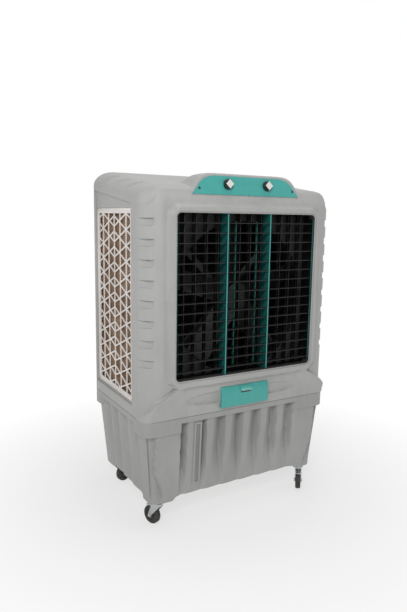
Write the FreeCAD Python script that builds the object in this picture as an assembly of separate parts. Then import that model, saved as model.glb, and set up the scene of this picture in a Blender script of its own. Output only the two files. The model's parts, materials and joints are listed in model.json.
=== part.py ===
import FreeCAD, Part
import math
import os

# Portable evaporative cooler on four swivel castors. Millimetres, +Z up, -Y to the front.
# The origin is on the floor, under the middle of the housing.

# ---- driving dimensions ----
# Overall
WIDTH = 884.0               # across the side walls
FRONT_Y = -291.0            # face of the raised frame around the air outlet
BACK_Y = 291.0              # rear wall
WALL = 5.0                  # moulded wall of cabinet and tank

# Cabinet
SEAM_Z = 450.0              # joint between tank and cabinet
FRONT_WALL_Y = -272.0       # front wall beside the raised frame
SIDE_EDGE_FRONT_Y = -202.0  # where the flat side starts
SIDE_EDGE_BACK_Y = BACK_Y - 44.0     # where the flat side ends
CORNER_X = 365.0            # where the flat front ends
ROOF_Z = 1361.0             # roof height over the origin
ROOF_SLOPE = 0.145          # the roof rises towards the back
ROOF_BEVEL_W = 95.0         # rounded shoulder between side and roof
ROOF_BEVEL_H = 59.0
ROOF_BACK_ROUND = 35.0
BROW_Z = 1275.0             # front wall starts to lean back here
SKIRT_TOP_Z = 505.0         # squarer corners below this height

# Air outlet
OUTLET_HALF_W = 320.0
OUTLET_BOTTOM_Z = 602.0
OUTLET_TOP_Z = 1229.0
OUTLET_RADIUS = 18.0
SURROUND_W = 33.0           # width of the raised frame
LIP_BACK_Y = -252.0         # rear edge of the outlet's tunnel
DECK_FRONT_Y = -220.0       # front face of the fan deck
DECK_T = 4.0

# Louvres
POST_X = 99.0               # two middle posts
POST_T = 4.0
POST_FRONT_Y = -279.0
END_POST_T = 5.0
RAIL_H = 8.0
BLADE_T = 2.0
SPINDLE_R = 2.0
RUNNING_FIT = 0.05          # radial play of a spindle in its hole
TILT_ROWS = 16
TILT_PITCH = 37.4
TILT_TOP_Z = 1192.0
TILT_AXIS_Y = -269.0
TILT_CHORD = 21.0
TILT_ARM = 17.0             # pin of the tilt bar behind the blade's spindle
TILT_LIMIT = 35.0           # degrees each way
TILT_BAR_X = 49.5
TILT_BAR_T = 2.5
SWING_COUNT = 12
SWING_PITCH = 49.5
SWING_AXIS_Y = -235.5
SWING_CHORD = 29.0
SWING_ARM = 12.0
SWING_LIMIT = 30.0
LINK_PIN_R = 1.5
LINK_PLAY = 0.3             # play of a link pin in its slot
SIDE_PLAY = 1.5             # blade ends to posts

# Fan
FAN_Z = 895.0
RING_R = 305.0
RING_WALL = 6.0
RING_DEPTH = 80.0
TIP_GAP = 8.0
HUB_R = 58.0
HUB_FRONT_Y = -200.0
HUB_BACK_Y = -140.0
FAN_BLADES = 5
FAN_BLADE_CHORD = 95.0
FAN_BLADE_PITCH = 28.0
MOTOR_R = 68.0
MOTOR_LENGTH = 110.0
SHAFT_R = 6.0
BRACKET_Y = -104.0          # face that the motor bolts to
BRACKET_T = 4.0
ARM_W = 26.0

# Control panel and knobs
PANEL_HALF_W = 246.0
PANEL_BASE_Y = -261.0
PANEL_BASE_Z = 1297.5
PANEL_H = 70.0
PANEL_T = 3.0
PANEL_LEAN = 7.6            # degrees back from upright
PANEL_TOP_HALF_W = 150.0
PANEL_SHOULDER = (212.0, 44.0)   # where each leaning end turns into the rounded top corner
HUMP_MARGIN = 7.0
KNOB_X = 91.0
KNOB_UP = 39.0
KNOB_R = 20.5
KNOB_H = 17.0
KNOB_STEM_R = 3.0
SCREW_UP = 22.5
SCREW_X = 216.0

# Fill door
DOOR_HALF_W = 113.0
DOOR_BOTTOM_Z = 464.0
DOOR_H = 86.0
DOOR_T = 4.0
DOOR_PIN_R = 3.0
DOOR_GAP = 0.6
CHUTE_SIDE_GAP = 1.5

# Pads and their grilles
PAD_BOTTOM_Z = 499.0
PAD_TOP_Z = 1243.0
SIDE_PAD_FRONT_Y = -141.0
SIDE_PAD_BACK_Y = SIDE_EDGE_BACK_Y - 11.0
BACK_PAD_HALF_W = 330.0
BAY_DEPTH = 8.0             # side wall to bay floor
BAY_MARGIN = 9.0
BACK_BAY_TOP_Z = 1278.0
GRILLE_T = 7.0
GRILLE_BORDER = 20.0
GRILLE_BAR = 5.5
GRILLE_BAR_T = 3.5
GRILLE_COLUMN = 122.0       # from one upright bar where the diagonals meet to the next
GRILLE_CELL_H = 61.0
GRILLE_RISE = 51.0          # height of one diagonal
GRILLE_GAP = 1.0
PAD_T = 60.0
LEDGE = 12.0
LEDGE_T = 5.0
SCREW_INSET = 9.0
SCREW_HEAD_R = 4.5
SCREW_HEAD_H = 2.0
SCREW_SHANK_R = 1.6

# Tank
TANK_RIM_H = 23.0
TANK_TOP_HALF_W = 428.0
TANK_TOP_FRONT_Y = -258.0
TANK_TOP_BACK_Y = BACK_Y - 14.0
TANK_FLOOR_Z = 120.0
TANK_TAPER_X = 27.0
TANK_TAPER_Y = 18.0
TANK_CORNER_R = 30.0
LEG_W = 92.0
DRAIN_X = 0.0
DRAIN_R = 14.0
GAUGE_X = -205.0
GAUGE_W = 16.0
GAUGE_BOTTOM_Z = 165.0
GAUGE_TOP_Z = 410.0

# Castors
PLATE_Z = 105.0             # underside of the legs
CASTOR_X = 357.0
CASTOR_Y = 208.0
CASTOR_TRAIL = 30.0
WHEEL_R = 37.5
WHEEL_W = 22.0
AXLE_R = 4.0
FORK_T = 2.5
FORK_GAP = 1.5
KINGPIN_R = 6.0
RACE_R = 22.0
PEDAL_PIN_R = 2.5
PEDAL_X = 15.0              # pedal pin, ahead of the pivot
PEDAL_Z = 80.5
PEDAL_CLEARANCE = 1.8       # lever above the tyre
PLATE_T = 2.5
PLATE_L = 66.0
PLATE_W = 54.0
PLATE_CORNER = 9.0
BOLT_X = 24.0
BOLT_Y = 18.0
CASTOR_TURNS = {"front_left": 111.0, "front_right": -129.0, "rear_left": 18.0, "rear_right": 62.0}

# Inlet, float and gland
SPIGOT_R = 10.45            # outside the wall, where a hose coupling goes on
SPIGOT_NECK_R = 10.0        # through the wall
SPIGOT_FLANGE_R = 15.0
SPIGOT_X = -300.0
SPIGOT_Z = 396.0
FLOAT_PIVOT_R = 2.0
FLOAT_PIVOT_DROP = 20.0     # pivot below the inlet's axis
FLOAT_ARM = 120.0
FLOAT_R = 32.0
FLOAT_DROOP = 20.0
GLAND_Z = 600.0
GLAND_BORE_R = 4.2
GLAND_LENGTH = 14.0
PUMP_X = 230.0
PUMP_Y = BACK_Y - 121.0

# ---- places that follow from them ----
HALF_W = WIDTH / 2
RAIL_TOP = OUTLET_TOP_Z + RAIL_H
RAIL_BOTTOM = OUTLET_BOTTOM_Z - RAIL_H
DOOR_FACE_Y = FRONT_WALL_Y - DOOR_GAP - DOOR_T
DOOR_AXIS_Y = DOOR_FACE_Y + DOOR_T / 2 + 1
DOOR_AXIS_Z = DOOR_BOTTOM_Z + 4
GRILLE_FACE = BAY_DEPTH + 2.0         # grille's outer face, behind the side wall
GRILLE_BACK = GRILLE_FACE + GRILLE_T
PAD_FACE = GRILLE_BACK + LEDGE_T
FLOAT_PIVOT_Y = TANK_TOP_BACK_Y - 34.0
FLOAT_PIVOT_Z = SPIGOT_Z - FLOAT_PIVOT_DROP
RACE_Z = PLATE_Z - PLATE_T - 6.0      # underside of the upper race
FORK_TOP_Z = RACE_Z - 0.3

V = FreeCAD.Vector
UP = V(0, 0, 1)
ACROSS = V(1, 0, 0)
BACKWARD = V(0, 1, 0)


# ---- small tools ----
def box(x0, x1, y0, y1, z0, z1):
    return Part.makeBox(x1 - x0, y1 - y0, z1 - z0, V(x0, y0, z0))


def rod(radius, start, end):
    a = V(*start)
    b = V(*end)
    return Part.makeCylinder(radius, (b - a).Length, a, b - a)


def prism(points, direction):
    """Extrude a closed outline of 3-D points along a direction."""
    corners = [V(*p) for p in points]
    face = Part.Face(Part.makePolygon(corners + [corners[0]]))
    return face.extrude(V(*direction))


def rounded_box(x0, x1, y0, y1, z0, z1, radius):
    """A box with its four edges along Y rounded."""
    solid = box(x0, x1, y0, y1, z0, z1)
    edges = [e for e in solid.Edges if abs(e.tangentAt(e.FirstParameter).y) > 0.99]
    return solid.makeFillet(radius, edges)


def mirrored(shape):
    """The same shape on the other side of the X = 0 plane."""
    return shape.mirror(V(0, 0, 0), ACROSS)


def turned(shape, angle, axis=UP, point=V(0, 0, 0)):
    copy = shape.copy()
    copy.rotate(point, axis, angle)
    return copy


def moved(shape, x, y, z):
    copy = shape.copy()
    copy.translate(V(x, y, z))
    return copy


def joined(shapes):
    whole = shapes[0].multiFuse(shapes[1:])
    return whole.removeSplitter()


def save(name, *shapes):
    """Write one node as a STEP file of its separate solids."""
    solids = [solid for shape in shapes for solid in shape.Solids]
    os.makedirs("parts", exist_ok=True)
    shape = solids[0] if len(solids) == 1 else Part.makeCompound(solids)
    shape.exportStep("parts/" + name + ".step")
    print(name, len(solids), "solids", "valid" if shape.isValid() else "NOT VALID")


# ---- cabinet ----
def roof_z(y):
    return ROOF_Z + ROOF_SLOPE * y


def plan_prism(corner_points, inset, z0, z1):
    """The housing seen from above, drawn for one half and mirrored, moved in by the inset."""
    right = corner_points
    left = [(-x, y) for x, y in reversed(right)]
    outline = [V(x, y, z0) for x, y in right + left]
    face = Part.Face(Part.makePolygon(outline + [outline[0]]))
    if inset:
        face = face.makeOffset2D(-inset, 2)
    return face.extrude(V(0, 0, z1 - z0))


UPPER_PLAN = [(CORNER_X, FRONT_WALL_Y), (HALF_W - 30, SIDE_EDGE_FRONT_Y - 47),
              (HALF_W, SIDE_EDGE_FRONT_Y), (HALF_W, SIDE_EDGE_BACK_Y),
              (HALF_W - (BACK_Y - SIDE_EDGE_BACK_Y), BACK_Y)]
LOWER_PLAN = [(CORNER_X, FRONT_WALL_Y + 6), (HALF_W - 14, FRONT_WALL_Y + 18),
              (HALF_W, SIDE_EDGE_FRONT_Y), (HALF_W, SIDE_EDGE_BACK_Y),
              (HALF_W - (BACK_Y - SIDE_EDGE_BACK_Y), BACK_Y)]


def roof_section(y, inset):
    """Rounded outline across the roof at one depth."""
    top = roof_z(y) - inset
    edge = roof_z(y) - ROOF_BEVEL_H
    half = HALF_W - inset
    flat = HALF_W - ROOF_BEVEL_W
    mid_x = flat + (half - flat) * 0.7
    mid_z = edge + (top - edge) * 0.66
    low = SEAM_Z - 50
    lines = [Part.makeLine(V(-flat, y, top), V(flat, y, top)),
             Part.Arc(V(flat, y, top), V(mid_x, y, mid_z), V(half, y, edge)).toShape(),
             Part.makeLine(V(half, y, edge), V(half, y, low)),
             Part.makeLine(V(half, y, low), V(-half, y, low)),
             Part.makeLine(V(-half, y, low), V(-half, y, edge)),
             Part.Arc(V(-half, y, edge), V(-mid_x, y, mid_z), V(-flat, y, top)).toShape()]
    return Part.Wire(lines)


def cabinet_form(inset, bottom):
    """Solid form of the cabinet, moved in by the inset, down to the bottom height."""
    front = FRONT_WALL_Y + inset
    back = BACK_Y - inset
    brow_y = PANEL_BASE_Y + inset
    brow_top = roof_z(brow_y + 45) - inset
    back_top = roof_z(back - ROOF_BACK_ROUND) - inset
    side = [(-HALF_W, front + 6, bottom), (-HALF_W, front, bottom + 125), (-HALF_W, front, BROW_Z),
            (-HALF_W, brow_y, BROW_Z + 18), (-HALF_W, brow_y + 45, brow_top),
            (-HALF_W, back - ROOF_BACK_ROUND, back_top),
            (-HALF_W, back, back_top - ROOF_BACK_ROUND), (-HALF_W, back, bottom)]
    side_form = prism(side, (WIDTH, 0, 0))
    plan_form = plan_prism(UPPER_PLAN, inset, bottom, ROOF_Z + 100)
    skirt_form = plan_prism(LOWER_PLAN, inset, bottom, SKIRT_TOP_Z - inset)
    roof_form = Part.makeLoft([roof_section(FRONT_Y, inset), roof_section(BACK_Y, inset)], True, True)
    body = plan_form.fuse(skirt_form).common(side_form).common(roof_form)
    return joined([body, hump_form(inset)])


def hump_form(inset):
    """Raised housing behind the control panel."""
    margin = HUMP_MARGIN - inset
    half = PANEL_HALF_W + margin
    top_half = PANEL_TOP_HALF_W + margin
    top = PANEL_H + margin
    out, up = PANEL_SHOULDER
    half_outline = [(half + 4, 0), (out + margin, up + margin), (out - 25 + margin, up + 16 + margin),
                    (top_half, top)]
    outline = [(x, 0, z) for x, z in half_outline] + [(-x, 0, z) for x, z in reversed(half_outline)]
    form = on_panel(moved(prism(outline, (0, 130, 0)), 0, PANEL_T + inset, 0))
    return form.common(box(-half, half, FRONT_Y, -100, PANEL_BASE_Z - 30, PANEL_BASE_Z + top + 10))


def on_panel(shape):
    """Carry a shape drawn upright at the panel's base to the panel's leaning plane."""
    leaning = turned(shape, -PANEL_LEAN, ACROSS)
    return moved(leaning, 0, PANEL_BASE_Y, PANEL_BASE_Z)


def bay_slab(u0, u1, x0, x1, grow):
    """A slab over one pad's bay; the top edge of a side bay follows the slope of the roof."""
    low = PAD_BOTTOM_Z - BAY_MARGIN - grow
    w0 = u0 - BAY_MARGIN - grow
    w1 = u1 + BAY_MARGIN + grow
    on_back_wall = u0 == -u1
    front_top = BACK_BAY_TOP_Z if on_back_wall else bay_top(u0)
    back_top = BACK_BAY_TOP_Z if on_back_wall else bay_top(u1)
    return prism([(x0, w0, low), (x0, w1, low), (x0, w1, back_top + grow), (x0, w0, front_top + grow)],
                 (x1 - x0, 0, 0))


def bay_mouth(u0, u1):
    """What the bay takes out of the outer wall."""
    return bay_slab(u0, u1, -WALL - 1, 1, 0)


def bay_ring(u0, u1):
    """One pad's bay, drawn with its outer wall on the plane X = 0 and outwards along +X."""
    ring_back = -PAD_FACE
    body = bay_slab(u0, u1, ring_back, -0.5, WALL)
    recess = bay_slab(u0, u1, -BAY_DEPTH, 1, 0)
    window = box(ring_back + LEDGE_T, 1, u0 - GRILLE_GAP, u1 + GRILLE_GAP,
                 PAD_BOTTOM_Z - GRILLE_GAP, PAD_TOP_Z + GRILLE_GAP)
    hole = box(ring_back - 1, 1, u0 + LEDGE, u1 - LEDGE, PAD_BOTTOM_Z + LEDGE, PAD_TOP_Z - LEDGE)
    shelf = box(ring_back - PAD_T, ring_back, u0, u1, PAD_BOTTOM_Z - WALL, PAD_BOTTOM_Z)
    return joined([body, shelf]).cut(recess).cut(window).cut(hole)


def on_sides(draw):
    """The three copies of a bay piece: right, left and back."""
    right = moved(draw(SIDE_PAD_FRONT_Y, SIDE_PAD_BACK_Y), HALF_W, 0, 0)
    back = moved(turned(draw(-BACK_PAD_HALF_W, BACK_PAD_HALF_W), 90), 0, BACK_Y, 0)
    return [right, mirrored(right), back]


def bay_top(y):
    return roof_z(y) - ROOF_BEVEL_H - 18


def make_cabinet_shell():
    outer = cabinet_form(0, SEAM_Z)
    inner = cabinet_form(WALL, SEAM_Z - 1)
    shell = outer.cut(inner)

    bays = on_sides(bay_ring)
    shell = shell.cut(Part.makeCompound(on_sides(bay_mouth)))

    surround = rounded_box(-OUTLET_HALF_W - SURROUND_W, OUTLET_HALF_W + SURROUND_W,
                           FRONT_Y, FRONT_WALL_Y + WALL,
                           OUTLET_BOTTOM_Z - SURROUND_W, OUTLET_TOP_Z + SURROUND_W,
                           OUTLET_RADIUS + SURROUND_W / 2)
    tunnel = rounded_box(-OUTLET_HALF_W - WALL, OUTLET_HALF_W + WALL, FRONT_WALL_Y, LIP_BACK_Y,
                         OUTLET_BOTTOM_Z - WALL, OUTLET_TOP_Z + WALL, OUTLET_RADIUS + WALL)
    outlet = rounded_box(-OUTLET_HALF_W, OUTLET_HALF_W, FRONT_Y - 1, LIP_BACK_Y + 1,
                         OUTLET_BOTTOM_Z, OUTLET_TOP_Z, OUTLET_RADIUS)
    bosses = [rod(7, (sx * (OUTLET_HALF_W + 28), FRONT_WALL_Y + WALL - 1, z),
                  (sx * (OUTLET_HALF_W + 28), DECK_FRONT_Y, z))
              for sx in (-1, 1) for z in (OUTLET_BOTTOM_Z + 40, FAN_Z, OUTLET_TOP_Z - 40)]
    shell = joined([shell, surround, tunnel] + bays + bosses).cut(outlet)

    # Fill opening behind the door, with a chute down to the tank.
    hole_half = DOOR_HALF_W - 14
    door_low = DOOR_BOTTOM_Z + 10
    door_high = DOOR_BOTTOM_Z + DOOR_H - 14
    fill_hole = box(-hole_half, hole_half, FRONT_WALL_Y - 5, FRONT_WALL_Y + 14, door_low, door_high)
    pin_seat = rod(DOOR_PIN_R + RUNNING_FIT, (-DOOR_HALF_W - 6, DOOR_AXIS_Y, DOOR_AXIS_Z),
                   (DOOR_HALF_W + 6, DOOR_AXIS_Y, DOOR_AXIS_Z))
    ears = [box(sx * (DOOR_HALF_W + 3) - 2.4, sx * (DOOR_HALF_W + 3) + 2.4, DOOR_AXIS_Y - 5,
                FRONT_WALL_Y + 9, DOOR_AXIS_Z - 5, DOOR_AXIS_Z + 5) for sx in (-1, 1)]
    shell = joined([shell] + ears).cut(fill_hole).cut(pin_seat)

    # Holes for the knob stems, the panel screws and the cable gland.
    for sx in (-1, 1):
        shell = shell.cut(on_panel(rod(KNOB_STEM_R + 4, (sx * KNOB_X, -1, KNOB_UP),
                                       (sx * KNOB_X, 20, KNOB_UP))))
        shell = shell.cut(on_panel(rod(SCREW_SHANK_R, (sx * SCREW_X, -1, SCREW_UP),
                                       (sx * SCREW_X, 20, SCREW_UP))))
    pilots = on_sides(grille_pilots)
    return shell.cut(Part.makeCompound(pilots)).cut(gland_rod(GLAND_BORE_R + 4, -2 * WALL, 5))


def grille_pilots(u0, u1):
    """Screw holes at the corners of one grille."""
    return Part.makeCompound([rod(SCREW_SHANK_R, (-PAD_FACE - 1, u, z), (0, u, z))
                              for u in (u0 + SCREW_INSET, u1 - SCREW_INSET)
                              for z in (PAD_BOTTOM_Z + SCREW_INSET, PAD_TOP_Z - SCREW_INSET)])


def gland_rod(radius, start, end):
    """A rod on the gland's axis, square to the rear right corner wall."""
    corner = (BACK_Y - SIDE_EDGE_BACK_Y) / 2
    x = HALF_W - corner
    y = BACK_Y - corner
    s = math.sqrt(0.5)
    return rod(radius, (x + s * start, y + s * start, GLAND_Z), (x + s * end, y + s * end, GLAND_Z))


def make_cable_gland():
    hub = gland_rod(GLAND_BORE_R + 4 - RUNNING_FIT, -WALL - 4, 0.5)
    flange = gland_rod(GLAND_BORE_R + 7, 0, 4)
    nut = gland_rod(GLAND_BORE_R + 5, 4, GLAND_LENGTH)
    inner_nut = gland_rod(GLAND_BORE_R + 8, -WALL - 4, -WALL)
    return joined([hub, flange, nut, inner_nut]).cut(gland_rod(GLAND_BORE_R, -20, 20))


# ---- fill door ----
def make_fill_door():
    """Flap with a tray behind it, turning on two pins at its lower edge."""
    top = DOOR_BOTTOM_Z + DOOR_H
    profile = [(-DOOR_HALF_W, DOOR_FACE_Y, DOOR_BOTTOM_Z),
               (-DOOR_HALF_W, DOOR_FACE_Y, top - 8), (-DOOR_HALF_W, DOOR_FACE_Y + 3, top),
               (-DOOR_HALF_W, DOOR_FACE_Y + DOOR_T, top), (-DOOR_HALF_W, DOOR_FACE_Y + DOOR_T, DOOR_BOTTOM_Z)]
    flap = prism(profile, (2 * DOOR_HALF_W, 0, 0))
    finger = rounded_box(-22, 22, DOOR_FACE_Y - 1, DOOR_FACE_Y + 1.6, top - 18, top - 4, 3)
    pins = [rod(DOOR_PIN_R, (sx * (DOOR_HALF_W - 3), DOOR_AXIS_Y, DOOR_AXIS_Z),
                (sx * (DOOR_HALF_W + 5), DOOR_AXIS_Y, DOOR_AXIS_Z)) for sx in (-1, 1)]
    tray_half = DOOR_HALF_W - 14 - CHUTE_SIDE_GAP
    cheeks = [prism([(sx * (tray_half - 1), DOOR_FACE_Y + DOOR_T, DOOR_BOTTOM_Z + 14),
                     (sx * (tray_half - 1), DOOR_FACE_Y + DOOR_T + 26, DOOR_BOTTOM_Z + 26),
                     (sx * (tray_half - 1), DOOR_FACE_Y + DOOR_T + 34, DOOR_BOTTOM_Z + 44),
                     (sx * (tray_half - 1), DOOR_FACE_Y + DOOR_T, top - 20)], (-sx * 2, 0, 0))
              for sx in (-1, 1)]
    return joined([flap] + pins + cheeks).cut(finger)


# ---- outlet louvres ----
def tilt_heights():
    return [TILT_TOP_Z - TILT_PITCH * i for i in range(TILT_ROWS)]


def swing_places():
    return [SWING_PITCH * (i - (SWING_COUNT - 1) / 2) for i in range(SWING_COUNT)]


def make_louver_frame():
    frame_half = OUTLET_HALF_W + 10
    rails = [box(-frame_half, frame_half, LIP_BACK_Y, DECK_FRONT_Y, z0, z0 + RAIL_H)
             for z0 in (RAIL_BOTTOM, OUTLET_TOP_Z)]
    low = OUTLET_BOTTOM_Z + 0.3
    high = OUTLET_TOP_Z - 0.3
    posts = [box(sx * POST_X - POST_T / 2, sx * POST_X + POST_T / 2, POST_FRONT_Y, DECK_FRONT_Y - 2,
                 low, high) for sx in (-1, 1)]
    post_feet = [box(sx * POST_X - POST_T / 2, sx * POST_X + POST_T / 2, LIP_BACK_Y, DECK_FRONT_Y - 2,
                     RAIL_BOTTOM + 1, RAIL_TOP - 1) for sx in (-1, 1)]
    end_inner = OUTLET_HALF_W - 0.3 - END_POST_T
    corner = OUTLET_RADIUS
    ends = [box(min(sx * end_inner, sx * (end_inner + END_POST_T)),
                max(sx * end_inner, sx * (end_inner + END_POST_T)),
                POST_FRONT_Y, LIP_BACK_Y, low + corner, high - corner) for sx in (-1, 1)]
    end_walls = [box(min(sx * end_inner, sx * frame_half), max(sx * end_inner, sx * frame_half),
                     LIP_BACK_Y, DECK_FRONT_Y, RAIL_BOTTOM + 1, RAIL_TOP - 1) for sx in (-1, 1)]
    frame = joined(rails + posts + post_feet + ends + end_walls)
    reach = end_inner + END_POST_T - 1.5
    holes = [rod(SPINDLE_R + RUNNING_FIT, (-reach, TILT_AXIS_Y, z), (reach, TILT_AXIS_Y, z))
             for z in tilt_heights()]
    holes += [rod(SPINDLE_R + RUNNING_FIT, (x, SWING_AXIS_Y, z0), (x, SWING_AXIS_Y, z0 + RAIL_H + 2))
              for x in swing_places() for z0 in (RAIL_BOTTOM - 1, OUTLET_TOP_Z - 1)]
    return frame.cut(Part.makeCompound(holes))


def make_tilt_blade(z):
    """One long blade on one spindle, necked where it passes the two middle posts."""
    end_inner = OUTLET_HALF_W - 0.3 - END_POST_T
    gap = POST_T / 2 + SIDE_PLAY
    spans = [(-end_inner + SIDE_PLAY, -POST_X - gap), (-POST_X + gap, POST_X - gap),
             (POST_X + gap, end_inner - SIDE_PLAY)]
    pieces = [box(x0, x1, TILT_AXIS_Y - TILT_CHORD / 2, TILT_AXIS_Y + TILT_CHORD / 2,
                  z - BLADE_T / 2, z + BLADE_T / 2) for x0, x1 in spans]
    reach = end_inner + END_POST_T - 2.0
    pieces.append(rod(SPINDLE_R, (-reach, TILT_AXIS_Y, z), (reach, TILT_AXIS_Y, z)))
    pin_y = TILT_AXIS_Y + TILT_ARM
    for sx in (-1, 1):
        ear_in = sx * (TILT_BAR_X + TILT_BAR_T / 2 + 0.5)
        ear_out = ear_in + sx * 2
        pieces.append(box(min(ear_in, ear_out), max(ear_in, ear_out), TILT_AXIS_Y, pin_y + LINK_PIN_R,
                          z - LINK_PIN_R, z + LINK_PIN_R))
        pin_end = sx * (TILT_BAR_X - TILT_BAR_T / 2)
        pieces.append(rod(LINK_PIN_R, (ear_out, pin_y, z), (pin_end, pin_y, z)))
    return joined(pieces)


def make_tilt_bars():
    """Two upright bars that tie the tilting blades, slotted because they rise in a straight line."""
    pin_y = TILT_AXIS_Y + TILT_ARM
    draw = TILT_ARM * (1 - math.cos(math.radians(TILT_LIMIT)))
    half_h = LINK_PIN_R + LINK_PLAY
    low = tilt_heights()[-1] - 6
    high = tilt_heights()[0] + 6
    front = pin_y - half_h - draw - 1.1
    bars = []
    for sx in (-1, 1):
        x0 = sx * TILT_BAR_X - TILT_BAR_T / 2
        x1 = sx * TILT_BAR_X + TILT_BAR_T / 2
        bar = box(x0, x1, front, pin_y + 3.3, low, high)
        slots = [box(x0 - 1, x1 + 1, pin_y - half_h - draw, pin_y + half_h, z - half_h, z + half_h)
                 for z in tilt_heights()]
        bars.append(bar.cut(Part.makeCompound(slots)))
    return bars


def make_swing_blade(x):
    """One upright blade with a crank at its top, above the rail."""
    blade = box(x - BLADE_T / 2, x + BLADE_T / 2, SWING_AXIS_Y - SWING_CHORD / 2,
                SWING_AXIS_Y + SWING_CHORD / 2, OUTLET_BOTTOM_Z + SIDE_PLAY, OUTLET_TOP_Z - SIDE_PLAY)
    top = RAIL_TOP + 3
    spindle = rod(SPINDLE_R, (x, SWING_AXIS_Y, RAIL_BOTTOM + 2), (x, SWING_AXIS_Y, top))
    crank = box(x - 3, x + 3, SWING_AXIS_Y - 3, SWING_AXIS_Y + SWING_ARM + 2.5, RAIL_TOP + 1, top)
    pin = rod(LINK_PIN_R, (x, SWING_AXIS_Y + SWING_ARM, top), (x, SWING_AXIS_Y + SWING_ARM, top + 5))
    return joined([blade, spindle, crank, pin])


def make_swing_bar():
    """The bar that ties the cranks of the upright blades."""
    pin_y = SWING_AXIS_Y + SWING_ARM
    draw = SWING_ARM * (1 - math.cos(math.radians(SWING_LIMIT)))
    half = LINK_PIN_R + LINK_PLAY
    z0 = RAIL_TOP + 3.5
    reach = swing_places()[-1] + 10
    bar = box(-reach, reach, pin_y - half - draw - 1.5, pin_y + 3.3, z0, z0 + 2.5)
    slots = [box(x - half, x + half, pin_y - half - draw, pin_y + half, z0 - 1, z0 + 4)
             for x in swing_places()]
    return bar.cut(Part.makeCompound(slots))


def make_swing_motor():
    """Slow motor that turns one upright blade, standing on the frame's top rail."""
    x = swing_places()[SWING_COUNT // 2]
    base = RAIL_TOP + 12
    body = rod(15.5, (x, SWING_AXIS_Y, base), (x, SWING_AXIS_Y, base + 18))
    shaft = rod(3.0, (x, SWING_AXIS_Y, RAIL_TOP + 3), (x, SWING_AXIS_Y, base))
    legs = [box(x + sx * 22 - 2, x + sx * 22 + 2, LIP_BACK_Y, LIP_BACK_Y + 5, RAIL_TOP, base + 3)
            for sx in (-1, 1)]
    plate = box(x - 24, x + 24, LIP_BACK_Y, LIP_BACK_Y + 12, base, base + 3)
    return joined([body, shaft, plate] + legs)


# ---- fan ----
def make_fan_deck():
    """Upright plate with the round air ring that the fan turns in."""
    plate_form = cabinet_form(WALL + 0.5, SEAM_Z)
    slab = box(-HALF_W, HALF_W, DECK_FRONT_Y, DECK_FRONT_Y + DECK_T, SEAM_Z, PANEL_BASE_Z)
    plate = slab.common(plate_form)
    ring = rod(RING_R + RING_WALL, (0, DECK_FRONT_Y, FAN_Z), (0, DECK_FRONT_Y + RING_DEPTH, FAN_Z))
    hole = rod(RING_R, (0, DECK_FRONT_Y - 1, FAN_Z), (0, DECK_FRONT_Y + RING_DEPTH + 1, FAN_Z))
    return joined([plate, ring]).cut(hole)


def make_motor_bracket():
    """Four flat arms from the motor plate to the deck, outside the ring."""
    foot_r = RING_R + RING_WALL + 14
    arms = []
    for turn in range(4):
        reach = box(0, foot_r + 8, BRACKET_Y - BRACKET_T, BRACKET_Y, -ARM_W / 2, ARM_W / 2)
        leg = box(foot_r, foot_r + 8, DECK_FRONT_Y + DECK_T, BRACKET_Y, -ARM_W / 2, ARM_W / 2)
        arm = turned(joined([reach, leg]), 45 + 90 * turn, BACKWARD)
        arms.append(moved(arm, 0, 0, FAN_Z))
    disc = rod(MOTOR_R, (0, BRACKET_Y - BRACKET_T, FAN_Z), (0, BRACKET_Y, FAN_Z))
    hole = rod(SHAFT_R + 8, (0, BRACKET_Y - 10, FAN_Z), (0, BRACKET_Y + 1, FAN_Z))
    return joined(arms + [disc]).cut(hole)


def make_fan_motor():
    body = rod(MOTOR_R, (0, BRACKET_Y, FAN_Z), (0, BRACKET_Y + MOTOR_LENGTH, FAN_Z))
    rim = [e for e in body.Edges if e.BoundBox.YMin > BRACKET_Y + 1 and e.BoundBox.ZLength > 1
           and e.BoundBox.YLength < 1]
    body = body.makeFillet(10, rim)
    shaft = rod(SHAFT_R, (0, HUB_FRONT_Y - 6, FAN_Z), (0, BRACKET_Y + 1, FAN_Z))
    return joined([body, shaft])


def make_fan_impeller():
    """Round hub with pitched blades that run inside the ring."""
    hub = rod(HUB_R, (0, HUB_FRONT_Y, FAN_Z), (0, HUB_BACK_Y, FAN_Z))
    tip_cut = rod(RING_R - TIP_GAP, (0, HUB_FRONT_Y - 60, FAN_Z), (0, HUB_BACK_Y + 60, FAN_Z))
    blades = []
    mid_y = (HUB_FRONT_Y + HUB_BACK_Y) / 2
    for i in range(FAN_BLADES):
        blade = box(-FAN_BLADE_CHORD / 2, FAN_BLADE_CHORD / 2, -1.5, 1.5, HUB_R - 25, RING_R + 10)
        blade = turned(blade, FAN_BLADE_PITCH)
        blade = turned(blade, i * 360 / FAN_BLADES, BACKWARD)
        blades.append(moved(blade, 0, mid_y, FAN_Z).common(tip_cut))
    bore = rod(SHAFT_R + RUNNING_FIT, (0, HUB_FRONT_Y - 1, FAN_Z), (0, HUB_BACK_Y + 1, FAN_Z))
    return joined([hub] + blades).cut(bore)


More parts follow.
